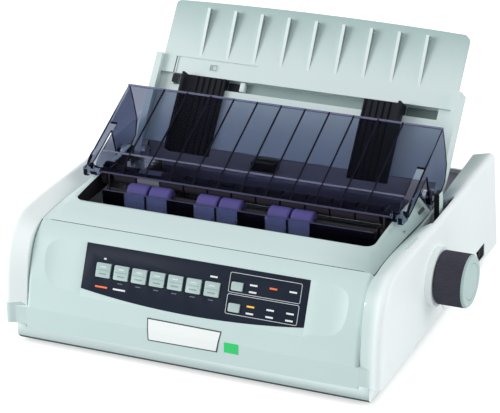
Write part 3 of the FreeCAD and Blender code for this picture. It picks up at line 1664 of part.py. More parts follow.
def feed_lever():
    hub = bar_x(lever_hub_radius, lever_x - lever_stem_width / 2, lever_x + lever_stem_width / 2,
                lever_y, lever_pivot_z)
    stem = block(lever_x - lever_stem_width / 2, lever_x + lever_stem_width / 2,
                 lever_y - lever_stem_depth / 2, lever_y + lever_stem_depth / 2, lever_pivot_z,
                 lever_handle_bottom + overrun)
    handle = block(lever_x - lever_handle_width / 2, lever_x + lever_handle_width / 2,
                   lever_y - lever_handle_depth / 2, lever_y + lever_handle_depth / 2,
                   lever_handle_bottom, lever_top)
    top_edges = [edge for edge in handle.Edges if edge.BoundBox.ZMin > lever_top - free_gap]
    handle = handle.makeFillet(overrun / 2, top_edges)
    count = int((lever_top - lever_handle_bottom) / lever_groove_pitch) - 2
    grooves = [block(lever_x - lever_handle_width, lever_x + lever_handle_width,
                     lever_y - lever_handle_depth / 2 - overrun,
                     lever_y - lever_handle_depth / 2 + lever_groove_depth,
                     lever_top - lever_groove_pitch * (index + 1.5),
                     lever_top - lever_groove_pitch * (index + 1))
               for index in range(count)]
    bore = bar_x(lever_stud_radius + running_gap, 0, case_half, lever_y, lever_pivot_z)
    return joined([hub, stem, handle.cut(grooves)]).cut(bore)


# Power switch

def switch_housing():
    inner_x = case_half - switch_pocket_depth
    shell = side_slab(switch_outline(switch_shell), inner_x - switch_shell, case_half - wall - seat_gap)
    plug = side_slab(switch_outline(-running_gap), case_half - 2 * wall, case_half - free_gap)
    pocket = side_slab(switch_outline(-switch_shell), inner_x, case_half + overrun)
    pin = bar_z(rocker_pin_radius, inner_x + rocker_depth / 2, rocker_y(), switch_z_low + free_gap,
                switch_z_high - free_gap)
    return joined([joined([shell, plug]).cut(pocket), pin])


def rocker_y():
    return switch_y_high - switch_shell - rocker_length / 2 - rocker_gap


def power_switch():
    inner_x = case_half - switch_pocket_depth
    x = inner_x + rocker_depth / 2
    middle_z = (switch_z_low + switch_z_high) / 2
    half = rocker_length / 2
    face = [(x, rocker_y() - half), (x + rocker_depth / 2, rocker_y() - half),
            (x + rocker_depth / 3, rocker_y()), (x + rocker_depth / 2, rocker_y() + half),
            (x, rocker_y() + half)]
    rocker = plan_slab(face, middle_z - rocker_height / 2, middle_z + rocker_height / 2)
    hub = bar_z(rocker_pin_radius + switch_shell / 2, x, rocker_y(), middle_z - rocker_height / 2,
                middle_z + rocker_height / 2)
    body = joined([rocker, hub]).cut(bar_z(rocker_pin_radius + running_gap, x, rocker_y(), 0, case_width))
    body.rotate(V(x, rocker_y(), 0), V(0, 0, 1), -rocker_tilt)
    return body


# Boards, transformer, connectors and rear deck

def main_board():
    board = block(main_board_x_low, main_board_x_high, main_board_y_low, main_board_y_high,
                  main_board_height, main_board_height + board_thickness)
    top = main_board_height + board_thickness
    parts = [block(x, x + width, y, y + depth, top - running_gap, top + height)
             for x, y, width, depth, height in chip_sizes]
    return joined([board] + parts)


def power_transformer():
    x = transformer_x
    y = transformer_y
    core_half = transformer_depth / 2 - winding_overhang
    core = block(x - transformer_width / 2, x + transformer_width / 2, y - core_half, y + core_half,
                 tray_inside, tray_inside + transformer_height)
    winding = block(x - transformer_width / 4, x + transformer_width / 4, y - transformer_depth / 2,
                    y + transformer_depth / 2, tray_inside + winding_overhang,
                    tray_inside + transformer_height - winding_overhang)
    long_edges = [edge for edge in winding.Edges if edge.BoundBox.ZLength > transformer_height / 2]
    return joined([core, winding.makeFillet(winding_overhang / 2, long_edges)])


def socket_shell(x, z, width, height, depth, socket_inset, socket_depth):
    """Box behind the rear wall with a flange face and an open socket to the rear."""
    face_y = rear_wall_y(z + height / 2 + wall) - wall
    fit = running_gap
    shell = block(x - width / 2 + fit, x + width / 2 - fit, face_y - depth, rear_wall_y(z),
                  z - height / 2 + fit, z + height / 2 - fit)
    flange = block(x - width / 2 - wall, x + width / 2 + wall, face_y - wall, face_y - fit,
                   z - height / 2 - wall / 2, z + height / 2 + wall / 2)
    socket = block(x - width / 2 + socket_inset, x + width / 2 - socket_inset, rear_wall_y(z) - socket_depth,
                   case_depth + overrun, z - height / 2 + socket_inset, z + height / 2 - socket_inset)
    return joined([shell, flange]).cut(socket)


def rear_connectors():
    inset_size = (inlet_width - inlet_socket_width) / 2
    inlet = socket_shell(inlet_x, inlet_z, inlet_width, inlet_height, inlet_depth, inset_size,
                         inlet_socket_depth)
    blade_start = rear_wall_y(inlet_z) - inlet_socket_depth - overrun
    blades = [block(inlet_x + inlet_blade_pitch * index - inlet_blade_width / 2,
                    inlet_x + inlet_blade_pitch * index + inlet_blade_width / 2, blade_start,
                    blade_start + inlet_socket_depth, inlet_z - inlet_blade_height / 2,
                    inlet_z + inlet_blade_height / 2)
              for index in (-1, 0, 1)]
    port = socket_shell(port_x, port_z, port_width, port_height, port_depth, port_socket_inset,
                        port_depth - wall)
    tongue_start = rear_wall_y(port_z) - port_depth
    tongue = block(port_x - port_width / 2 + 2 * port_socket_inset, port_x + port_width / 2
                   - 2 * port_socket_inset, tongue_start, rear_wall_y(port_z) - wall,
                   port_z - port_tongue_height / 2, port_z + port_tongue_height / 2)
    usb = socket_shell(usb_x, port_z, usb_width, port_height, port_depth, port_socket_inset / 2,
                       port_depth - wall)
    return group([joined([inlet] + blades), joined([port, tongue]), usb])


def rear_deck():
    half = rear_deck_half
    rear_top = rear_deck_top + rear_deck_rise
    plate = side_slab([(rear_deck_front, rear_deck_top), (rear_wall_y(rear_top) - wall, rear_top),
                       (rear_wall_y(rear_top - wall) - wall, rear_top - wall),
                       (rear_deck_front, rear_deck_top - wall)], -half, half)
    lip = block(-frame_inner + free_gap, frame_inner - free_gap, rear_deck_front, rear_deck_front + wall,
                rear_deck_top - rear_deck_lip, rear_deck_top - wall / 2)
    cheek = side_slab([(cheek_front, rear_deck_top), (cheek_front, rear_deck_top + cheek_height),
                       (cheek_rear, rear_deck_top + cheek_height), (cheek_rear, rear_deck_top)],
                      half - cheek_thickness, half)
    notch = block(separator_half + free_gap, case_half, 0, rear_deck_notch_rear, 0, side_height)
    return joined([plate, lip, cheek, mirrored(cheek)]).cut([notch, mirrored(notch)])


# All pieces by name

def all_pieces():
    pieces = {
        "lower_case": lower_case(),
        "upper_case": upper_case(),
        "front_fascia": front_fascia(),
        "control_panel": control_panel(),
        "panel_lamps": panel_lamps(),
        "panel_board": panel_board(),
        "rubber_feet": rubber_feet(),
        "case_screws": case_screws(),
        "left_side_frame": left_side_frame(),
        "right_side_frame": right_side_frame(),
        "shaft_bushes": both_sides(shaft_bush()),
        "hinge_brackets": both_sides(hinge_bracket()),
        "main_board": main_board(),
        "power_transformer": power_transformer(),
        "rear_connectors": rear_connectors(),
        "rear_deck": rear_deck(),
        "carriage_guide_shaft": carriage_guide_shaft(),
        "carriage_belt": carriage_belt(),
        "carriage_motor": carriage_motor(),
        "line_feed_motor": line_feed_motor(),
        "paper_chute": paper_chute(),
        "tractor_support_shaft": tractor_support_shaft(),
        "switch_housing": switch_housing(),
        "deck_cover": deck_cover(),
        "smoked_shield": smoked_shield(),
        "separator": separator(),
        "left_paper_guide": paper_guide(left_guide_outer, left_guide_width, -1),
        "right_paper_guide": paper_guide(right_guide_outer, right_guide_width, 1),
        "platen_roller": platen_roller(),
        "platen_shaft": platen_shaft(),
        "platen_gear": platen_gear(),
        "platen_knob": group([platen_knob(), knob_cap()]),
        "line_feed_pinion": line_feed_pinion(),
        "pull_up_idler": pull_up_idler(),
        "pull_up_roller": pull_up_roller(),
        "tractor_idler": tractor_idler(),
        "tractor_shaft": tractor_shaft(),
        "left_tractor": tractor_body(-1),
        "right_tractor": tractor_body(1),
        "left_tractor_gate": tractor_gate(-1),
        "right_tractor_gate": tractor_gate(1),
        "bail_rod": bail_rod(),
        "pinch_rollers": pinch_rollers(),
        "tear_bar": tear_bar(),
        "feed_lever": feed_lever(),
        "power_switch": power_switch(),
        "print_carriage": print_carriage(),
        "print_head": print_head(),
        "ribbon_cartridge": ribbon_cartridge(),
        "drive_pulley": drive_pulley(),
        "idle_pulley": idle_pulley(),
    }
    for name, x, up, width, height in key_places():
        pieces[name] = panel_key(x, up, width, height)
    return pieces


def footprint_centre(pieces):
    """Centre of the whole object's box, on the floor."""
    boxes = [shape.optimalBoundingBox(False, False) for shape in pieces.values()]
    x = (min(box.XMin for box in boxes) + max(box.XMax for box in boxes)) / 2
    y = (min(box.YMin for box in boxes) + max(box.YMax for box in boxes)) / 2
    return V(x, y, 0)


pieces = all_pieces()
origin = footprint_centre(pieces)
os.makedirs("parts", exist_ok=True)
for name, shape in pieces.items():
    placed = shape.copy()
    placed.translate(origin * -1)
    placed.exportStep(os.path.join("parts", name + ".step"))
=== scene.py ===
"""Dresses the printer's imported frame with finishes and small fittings, and sets up the studio."""

import logging
import math
from dataclasses import dataclass
from enum import Enum
from typing import Callable

import bpy
from mathutils import Matrix, Vector
from mathutils.bvhtree import BVHTree


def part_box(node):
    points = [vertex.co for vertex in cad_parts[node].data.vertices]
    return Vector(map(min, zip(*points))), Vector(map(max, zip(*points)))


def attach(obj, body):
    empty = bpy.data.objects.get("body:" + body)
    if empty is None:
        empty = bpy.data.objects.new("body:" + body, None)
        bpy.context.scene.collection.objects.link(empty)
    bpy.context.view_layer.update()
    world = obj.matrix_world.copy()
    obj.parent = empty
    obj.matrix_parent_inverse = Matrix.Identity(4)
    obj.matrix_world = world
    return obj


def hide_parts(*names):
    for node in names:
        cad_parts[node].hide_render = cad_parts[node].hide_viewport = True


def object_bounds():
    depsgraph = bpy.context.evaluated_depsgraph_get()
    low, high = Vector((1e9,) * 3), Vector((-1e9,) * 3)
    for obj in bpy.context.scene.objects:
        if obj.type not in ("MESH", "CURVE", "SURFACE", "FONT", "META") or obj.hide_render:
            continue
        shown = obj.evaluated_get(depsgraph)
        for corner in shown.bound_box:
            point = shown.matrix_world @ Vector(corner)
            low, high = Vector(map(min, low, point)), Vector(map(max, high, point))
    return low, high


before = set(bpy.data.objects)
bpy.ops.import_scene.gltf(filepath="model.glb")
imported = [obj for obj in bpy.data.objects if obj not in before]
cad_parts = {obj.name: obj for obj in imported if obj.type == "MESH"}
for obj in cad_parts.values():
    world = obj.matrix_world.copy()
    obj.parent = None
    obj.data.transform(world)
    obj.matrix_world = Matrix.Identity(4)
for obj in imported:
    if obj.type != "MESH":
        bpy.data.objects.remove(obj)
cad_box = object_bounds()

log = logging.getLogger("printer")
MM = 0.001
X_AXIS = Vector((1, 0, 0))
DOWN = Vector((0, 0, -1))
INWARD = Vector((0, 1, 0))
# A face counts as looking along an axis where its normal's part along it is over this.
FACING = 0.9


def shade(red: float, green: float, blue: float) -> tuple[float, float, float, float]:
    """Gives the shader colour that shows as these screen levels.

    Args:
        red: Level from 0 to 255.
        green: Level from 0 to 255.
        blue: Level from 0 to 255.

    Returns:
        The linear colour with full alpha.
    """
    levels = []
    for level in (red, green, blue):
        part = level / 255
        levels.append(part / 12.92 if part <= 0.04045 else ((part + 0.055) / 1.055) ** 2.4)
    return (*levels, 1.0)


class Signal:
    """A shader socket that takes part in Python sums."""

    def __init__(self, graph: "Graph", socket: bpy.types.NodeSocket) -> None:
        """Keeps the socket and the graph that it belongs to."""
        self.graph = graph
        self.socket = socket

    def _sum(self, operation: str, first: object, second: object) -> "Signal":
        """Adds one Math node and gives its result."""
        return self.graph.node("ShaderNodeMath", {"operation": operation}, {0: first, 1: second})

    def __add__(self, other: object) -> "Signal":
        """Gives this signal plus another value."""
        return self._sum("ADD", self, other)

    __radd__ = __add__

    def __sub__(self, other: object) -> "Signal":
        """Gives this signal less another value."""
        return self._sum("SUBTRACT", self, other)

    def __mul__(self, other: object) -> "Signal":
        """Gives this signal times another value."""
        return self._sum("MULTIPLY", self, other)

    def __gt__(self, other: object) -> "Signal":
        """Gives one where this signal is over another value, and nought elsewhere."""
        return self._sum("GREATER_THAN", self, other)

    def __lt__(self, other: object) -> "Signal":
        """Gives one where this signal is under another value, and nought elsewhere."""
        return self._sum("LESS_THAN", self, other)

    def __or__(self, other: object) -> "Signal":
        """Gives the greater of this signal and another value."""
        return self._sum("MAXIMUM", self, other)

    def __pow__(self, other: object) -> "Signal":
        """Gives this signal raised to a power."""
        return self._sum("POWER", self, other)


class Graph:
    """The nodes of one material or world."""

    def __init__(self, owner: bpy.types.Material | bpy.types.World) -> None:
        """Takes a new material or world and empties its nodes."""
        self.owner = owner
        owner.use_nodes = True
        self.tree = owner.node_tree
        self.tree.nodes.clear()

    @staticmethod
    def of_material(name: str) -> "Graph":
        """Starts an empty material of the given name."""
        return Graph(bpy.data.materials.new(name))

    def node(self, kind: str, settings: dict | None = None, inputs: dict | None = None,
             output: int | str = 0) -> Signal:
        """Makes any node.

        Args:
            kind: The node's type name.
            settings: Values of the node's own properties, and "stops" for a ramp.
            inputs: A value or a signal for each socket, by its name or number.
            output: Which output to give back.

        Returns:
            The chosen output as a signal.
        """
        made = self.tree.nodes.new(kind)
        for name, value in (settings or {}).items():
            if name == "stops":
                self._set_stops(made.color_ramp, value)
            else:
                setattr(made, name, value)
        for name, value in (inputs or {}).items():
            if isinstance(value, Signal):
                self.tree.links.new(value.socket, made.inputs[name])
            else:
                made.inputs[name].default_value = value
        return Signal(self, made.outputs[output])

    def _set_stops(self, ramp: bpy.types.ColorRamp, stops: list[tuple[float, float]]) -> None:
        """Gives a ramp its grey stops, each a place and a level."""
        while len(ramp.elements) < len(stops):
            ramp.elements.new(1.0)
        for element, (place, level) in zip(ramp.elements, stops):
            element.position = place
            element.color = (level, level, level, 1.0)

    def position(self, stretch: tuple[float, float, float] = (1, 1, 1)) -> Signal:
        """Gives the place on the piece, in metres, stretched by axis."""
        place = self.node("ShaderNodeTexCoord", output="Object")
        if stretch == (1, 1, 1):
            return place
        return self.node("ShaderNodeMapping", {"vector_type": "POINT"}, {"Vector": place, "Scale": stretch})

    def noise(self, size: float, detail: float = 2.0,
              stretch: tuple[float, float, float] = (1, 1, 1)) -> Signal:
        """Gives smooth noise about 0.5, with patches of about the given size in metres."""
        return self.node("ShaderNodeTexNoise", {},
                         {"Vector": self.position(stretch), "Scale": 1 / size, "Detail": detail})

    def blend(self, share: Signal, first: tuple, second: tuple) -> Signal:
        """Mixes two colours, or a colour signal and a colour, by a share."""
        mixed = self.tree.nodes.new("ShaderNodeMix")
        mixed.data_type = "RGBA"
        sockets = {"A": mixed.inputs[6], "B": mixed.inputs[7], "share": mixed.inputs[0]}
        for name, value in (("A", first), ("B", second), ("share", share)):
            if isinstance(value, Signal):
                self.tree.links.new(value.socket, sockets[name])
            else:
                sockets[name].default_value = value
        return Signal(self, mixed.outputs[2])

    def bump(self, height: Signal, strength: float, depth: float) -> Signal:
        """Gives a normal that follows a height, with the depth in metres."""
        return self.node("ShaderNodeBump", {}, {"Strength": strength, "Distance": depth, "Height": height})

    def surface(self, **inputs: object) -> bpy.types.Material:
        """Ends the material in one Principled surface.

        Args:
            **inputs: Socket values by name, with underscores for blanks.

        Returns:
            The finished material.
        """
        named = {name.replace("_", " "): value for name, value in inputs.items()}
        self.close(self.node("ShaderNodeBsdfPrincipled", {}, named), "ShaderNodeOutputMaterial")
        return self.owner

    def close(self, shader: Signal, kind: str) -> None:
        """Joins a shader to an output node of the given kind."""
        end = self.tree.nodes.new(kind)
        self.tree.links.new(shader.socket, end.inputs["Surface"])


@dataclass(frozen=True)
class MouldedPlastic:
    """A moulded plastic with a fine eroded grain and faint tone changes."""

    name: str
    colour: tuple
    second: tuple
    roughness: float = 0.45
    roughness_spread: float = 0.08
    patch: float = 0.05
    grain: float = 0.0007
    grain_depth: float = 0.00003
    grain_strength: float = 0.5
    specular: float = 0.4

    def make(self) -> bpy.types.Material:
        """Builds the material."""
        graph = Graph.of_material(self.name)
        clouds = graph.noise(self.patch, 3.0)
        speckle = graph.noise(self.grain, 1.0)
        tone = graph.blend(clouds, self.colour, self.second)
        spread = self.roughness_spread
        return graph.surface(Base_Color=tone, Specular_IOR_Level=self.specular,
                             Roughness=self.roughness + (clouds - 0.5) * spread + (speckle - 0.5) * spread,
                             Normal=graph.bump(speckle, self.grain_strength, self.grain_depth))


@dataclass(frozen=True)
class WorkedMetal:
    """A bare metal with drawn lines along one axis."""

    name: str
    colour: tuple
    second: tuple
    roughness: float = 0.25
    line: float = 0.0006
    stretch: tuple = (0.02, 1, 1)
    line_depth: float = 0.00001
    line_strength: float = 0.3
    line_spread: float = 0.2
    patch: float = 0.02
    patch_spread: float = 0.1

    def make(self) -> bpy.types.Material:
        """Builds the material."""
        graph = Graph.of_material(self.name)
        lines = graph.noise(self.line, 2.0, self.stretch)
        clouds = graph.noise(self.patch, 3.0)
        uneven = (lines - 0.5) * self.line_spread + (clouds - 0.5) * self.patch_spread
        return graph.surface(Base_Color=graph.blend(clouds, self.colour, self.second), Metallic=1.0,
                             Roughness=self.roughness + uneven,
                             Normal=graph.bump(lines, self.line_strength, self.line_depth))


@dataclass(frozen=True)
class SolidRubber:
    """A matt rubber with a ground surface."""

    name: str
    colour: tuple
    second: tuple
    roughness: float = 0.75
    roughness_spread: float = 0.15
    grain: float = 0.0009
    stretch: tuple = (0.2, 1, 1)
    grain_depth: float = 0.00004
    grain_strength: float = 0.6
    patch: float = 0.03
    specular: float = 0.25

    def make(self) -> bpy.types.Material:
        """Builds the material."""
        graph = Graph.of_material(self.name)
        ground = graph.noise(self.grain, 3.0, self.stretch)
        clouds = graph.noise(self.patch)
        return graph.surface(Base_Color=graph.blend(clouds, self.colour, self.second),
                             Roughness=self.roughness + (ground - 0.5) * self.roughness_spread,
                             Specular_IOR_Level=self.specular,
                             Normal=graph.bump(ground, self.grain_strength, self.grain_depth))


@dataclass(frozen=True)
class ClearSheet:
    """A tinted clear plastic with faint streaks of dust."""

    name: str
    colour: tuple
    roughness: float = 0.04
    index: float = 1.49
    specular: float = 0.5
    clear: float = 1.0
    streak: float = 0.012
    dust_stops: tuple = ((0.45, 0.0), (0.8, 1.0))
    dust_roughness: float = 0.06

    def make(self) -> bpy.types.Material:
        """Builds the material."""
        graph = Graph.of_material(self.name)
        streaks = graph.noise(self.streak, 4.0)
        dust = graph.node("ShaderNodeValToRGB", {"stops": self.dust_stops}, {"Fac": streaks})
        return graph.surface(Base_Color=self.colour, Transmission_Weight=self.clear, IOR=self.index,
                             Roughness=self.roughness + dust * self.dust_roughness,
                             Specular_IOR_Level=self.specular)


@dataclass(frozen=True)
class ShadeGradedPlastic:
    """A moulded plastic with painted shade: its tone deepens along one axis."""

    name: str
    colour: tuple
    second: tuple
    span: tuple[float, float]
    axis: str = "Z"
    sharpness: float = 1.6
    roughness: float = 0.45
    roughness_spread: float = 0.1
    patch: float = 0.05
    grain: float = 0.0007
    grain_depth: float = 0.00003
    grain_strength: float = 0.5
    specular: float = 0.3

    def make(self) -> bpy.types.Material:
        """Builds the material."""
        graph = Graph.of_material(self.name)
        place = graph.node("ShaderNodeSeparateXYZ", {}, {"Vector": graph.position()}, self.axis)
        low, high = self.span
        share = graph.node("ShaderNodeMath", {"operation": "MULTIPLY", "use_clamp": True},
                           {0: place - low, 1: 1 / (high - low)})
        speckle = graph.noise(self.grain, 1.0)
        clouds = graph.noise(self.patch, 3.0)
        tone = graph.blend(share ** self.sharpness, self.colour, self.second)
        return graph.surface(Base_Color=tone, Specular_IOR_Level=self.specular,
                             Roughness=self.roughness + (clouds - 0.5) * self.roughness_spread,
                             Normal=graph.bump(speckle, self.grain_strength, self.grain_depth))


@dataclass(frozen=True)
class SerratedSheet:
    """The tear bar's clear plastic, with painted light in front of the rollers and painted shade between
    them.
    """

    name: str
    roller_light: tuple
    dark: tuple
    centre: float = -0.037
    pitch: float = 0.0709
    half: float = 0.0217
    seam: float = 0.0011
    last: float = 0.075
    clear: float = 0.72
    index: float = 1.08
    specular: float = 0.3
    roughness: float = 0.12
    dust_roughness: float = 0.08
    patch: float = 0.01

    def make(self) -> bpy.types.Material:
        """Builds the material."""
        graph = Graph.of_material(self.name)
        across = graph.node("ShaderNodeSeparateXYZ", {}, {"Vector": graph.position()}, "X")
        wrapped = graph.node("ShaderNodeMath", {"operation": "WRAP"},
                             {0: across - self.centre, 1: self.pitch / 2, 2: -self.pitch / 2})
        distance = graph.node("ShaderNodeMath", {"operation": "ABSOLUTE"}, {0: wrapped})
        between = (distance > self.half) | (across > self.last) | (distance < self.seam)
        tone = graph.blend(between, self.roller_light, self.dark)
        dust = graph.noise(self.patch, 3.0)
        return graph.surface(Base_Color=tone, Transmission_Weight=self.clear, IOR=self.index,
                             Specular_IOR_Level=self.specular,
                             Roughness=self.roughness + dust * self.dust_roughness)


@dataclass(frozen=True)
class LitLens:
    """A small lens or printed bar that may glow."""

    name: str
    colour: tuple
    glow: float = 0.0
    dimmer: float = 0.86
    roughness: float = 0.35
    roughness_spread: float = 0.1
    patch: float = 0.003

    def make(self) -> bpy.types.Material:
        """Builds the material."""
        graph = Graph.of_material(self.name)
        clouds = graph.noise(self.patch, 1.0)
        tone = graph.blend(clouds, self.colour, (*(self.dimmer * part for part in self.colour[:3]), 1.0))
        return graph.surface(Base_Color=tone, Roughness=self.roughness + clouds * self.roughness_spread,
                             Emission_Color=tone, Emission_Strength=self.glow)


@dataclass(frozen=True)
class PrintedBoard:
    """A green circuit board with fine tracks under its lacquer."""

    name: str
    colour: tuple
    track: tuple
    cells_per_metre: float = 160.0
    track_width: float = 0.04
    row_shift: float = 0.35
    track_depth: float = 0.00005
    track_strength: float = 0.4
    roughness: float = 0.35
    roughness_spread: float = 0.15
    patch: float = 0.01

    def make(self) -> bpy.types.Material:
        """Builds the material."""
        graph = Graph.of_material(self.name)
        places = {"Vector": graph.position(), "Scale": self.cells_per_metre, "Mortar Size": self.track_width}
        cells = graph.node("ShaderNodeTexBrick", {"offset": self.row_shift}, places, "Fac")
        return graph.surface(Base_Color=graph.blend(cells, self.colour, self.track),
                             Roughness=self.roughness + graph.noise(self.patch) * self.roughness_spread,
                             Normal=graph.bump(cells, self.track_strength, self.track_depth))


CASE_TONE = shade(245, 251, 251)
CASE_SECOND = shade(241, 248, 248)


class Finish(Enum):
    """The finishes of the printer, one for each kind of surface."""

    CASE = MouldedPlastic("case_plastic", CASE_TONE, CASE_SECOND)
    COVER = MouldedPlastic("cover_plastic", shade(201, 220, 219), shade(196, 216, 215))
    # Painted shade: the deck's tone deepens towards its right end.
    DECK = ShadeGradedPlastic("deck_painted_shade", shade(206, 224, 223), shade(160, 182, 180), (0.075, 0.15), "X")
    # Painted shade for the underside of the tray.
    BASE = MouldedPlastic("underside_painted_shade", shade(62, 74, 76), shade(74, 86, 88), roughness=0.6, specular=0.2)
    # Painted shade: the separator's tone deepens towards its top edge.
    SEPARATOR = ShadeGradedPlastic("separator_painted_shade", shade(214, 228, 227), shade(158, 182, 180), (0.17, 0.232))
    # Painted light on the separator's rib faces and beads, and painted shade on the ribs' right sides; the
    # channel tab wears the same light tone.
    RIB_LIT = MouldedPlastic("rib_face", shade(224, 235, 234), shade(218, 230, 229))
    RIB_SHADE = MouldedPlastic("rib_side", shade(128, 148, 146), shade(120, 140, 138))
    # Painted shade for the dark right end of the separator's channel.
    SLOT_END = MouldedPlastic("slot_end", shade(92, 108, 108), shade(84, 100, 100))
    # Painted shade: the chin darkens towards the floor.
    CHIN = ShadeGradedPlastic("chin_painted_shade", shade(216, 231, 230), shade(132, 153, 152), (0.018, 0.004))
    # Painted shade: the right band darkens towards its inner edge.
    BAND = ShadeGradedPlastic("band_painted_shade", shade(196, 212, 210), CASE_TONE, (0.15, 0.162), "X")
    # Painted shade on the floor of the separator's channel.
    CHANNEL = MouldedPlastic("channel_floor", shade(146, 165, 163), shade(138, 157, 155))
    PANEL = MouldedPlastic("panel_film", shade(27, 33, 47), shade(33, 40, 54), roughness=0.45, patch=0.012,
                           specular=0.08)
    KEY = MouldedPlastic("key_plastic", shade(178, 200, 198), shade(184, 206, 204), roughness=0.4,
                         patch=0.008)
    BOARD = PrintedBoard("circuit_board", shade(30, 88, 52), shade(58, 122, 76))
    RUBBER = SolidRubber("black_rubber", shade(28, 28, 30), shade(38, 38, 40))
    ROLLER = SolidRubber("roller_rubber", shade(40, 36, 46), shade(54, 49, 60))
    PURPLE = SolidRubber("purple_rubber", shade(72, 66, 126), shade(82, 76, 138), roughness=0.6)
    GREY_ROLLER = SolidRubber("grey_roller_rubber", shade(138, 138, 148), shade(126, 126, 138), roughness=0.6)
    BRIGHT = WorkedMetal("bright_steel", shade(214, 216, 218), shade(196, 199, 203))
    FRAME_STEEL = WorkedMetal("frame_steel", shade(92, 92, 96), shade(76, 76, 81), roughness=0.45,
                              stretch=(1, 0.05, 1))
    GEAR = MouldedPlastic("gear_plastic", shade(216, 214, 204), shade(206, 203, 192), roughness=0.38)
    IRON = MouldedPlastic("transformer_iron", shade(74, 72, 74), shade(92, 88, 88), roughness=0.5)
    BLACK = MouldedPlastic("black_plastic", shade(15, 15, 20), shade(22, 21, 28), roughness=0.5, specular=0.2)
    DARK = MouldedPlastic("dark_plastic", shade(22, 24, 30), shade(28, 30, 38), roughness=0.5, specular=0.12)
    # Painted shade: the rear deck is darkened for the shade under the smoked sheet.
    DEPTH = MouldedPlastic("rear_deck_painted_shade", shade(142, 138, 156), shade(132, 128, 146), roughness=0.55,
                           specular=0.12)
    # Painted shade on the smoked sheet's ribs and cut edges.
    NAVY = MouldedPlastic("navy_edge", shade(9, 8, 24), shade(13, 12, 30), roughness=0.4, specular=0.08)
    # Painted shade: the raised marks on the right band are darker than the case.
    EMBOSS_SHADE = MouldedPlastic("emboss_painted_shade", shade(182, 198, 198), shade(174, 191, 191), roughness=0.5)
    MOTOR = WorkedMetal("motor_metal", shade(120, 122, 126), shade(98, 100, 105), roughness=0.4)
    KNOB = MouldedPlastic("knob_plastic", shade(58, 58, 70), shade(68, 67, 80), roughness=0.5, specular=0.25)
    # The knob's own pale cap, and painted light on the feed lever's right side.
    KNOB_CAP = MouldedPlastic("knob_cap_and_painted_light", shade(192, 212, 211), shade(184, 205, 204), roughness=0.4)
    SMOKED = ClearSheet("smoked_plastic", shade(154, 160, 182), index=1.08)
    # Painted light in front of the rollers and painted shade between them.
    SERRATED = SerratedSheet("serrated_strip", shade(142, 154, 206), shade(26, 25, 38))
    # Painted highlight for the shield's beads and lip and the tear bar's teeth.
    EDGE = ClearSheet("lit_edge", shade(134, 136, 172), roughness=0.15, specular=0.3, clear=0.6)
    PLATE = MouldedPlastic("plate_white", shade(244, 246, 246), shade(238, 241, 241), roughness=0.35)
    # Dark print on the nameplate's border, and painted shade on the separator's slit and the deck's grip.
    INK = MouldedPlastic("dark_ink_and_shade", shade(48, 54, 56), shade(60, 66, 68), roughness=0.5)
    PALE_INK = MouldedPlastic("pale_ink", shade(206, 212, 214), shade(216, 221, 223), roughness=0.5)
    FAINT_INK = MouldedPlastic("faint_ink", shade(96, 102, 112), shade(108, 114, 124), roughness=0.5)
    GREY_INK = MouldedPlastic("grey_ink", shade(128, 146, 146), shade(138, 156, 156), roughness=0.5)
    KEY_BAR = MouldedPlastic("key_bar_ink", shade(214, 226, 226), shade(206, 219, 219), roughness=0.5)
    GREEN = MouldedPlastic("green_label", shade(36, 200, 104), shade(56, 210, 120), roughness=0.3)
    # Painted light: a faint glow on the white lenses and bars.
    WHITE_LAMP = LitLens("white_lamp", shade(226, 230, 232), 0.1)
    ORANGE_LAMP = LitLens("orange_lamp", shade(232, 104, 48), 0.35)
    YELLOW_LAMP = LitLens("yellow_lamp", shade(236, 186, 60), 0.35)

    def material(self) -> bpy.types.Material:
        """Gives the finish's material, made once."""
        found = bpy.data.materials.get(self.value.name + "_finish")
        if found is None:
            found = self.value.make()
            found.name = self.value.name + "_finish"
        return found


SLOT_FINISHES = {
    "case_plastic": Finish.CASE, "panel_black": Finish.PANEL, "key_plastic": Finish.KEY,
    "lamp_lens": Finish.WHITE_LAMP, "circuit_board": Finish.BOARD, "black_rubber": Finish.RUBBER,
    "roller_rubber": Finish.ROLLER, "bright_steel": Finish.BRIGHT, "frame_steel": Finish.FRAME_STEEL,
    "gear_plastic": Finish.GEAR, "transformer_iron": Finish.IRON, "black_plastic": Finish.BLACK,
    "dark_plastic": Finish.DARK, "motor_metal": Finish.MOTOR, "knob_plastic": Finish.KNOB,
    "smoked_plastic": Finish.SMOKED,
}

NODE_FINISHES = {
    "front_fascia": Finish.COVER, "separator": Finish.SEPARATOR, "bail_rod": Finish.BLACK,
    "tear_bar": Finish.SERRATED, "carriage_guide_shaft": Finish.DARK, "pinch_rollers": Finish.PURPLE,
    "tractor_support_shaft": Finish.BLACK,
}


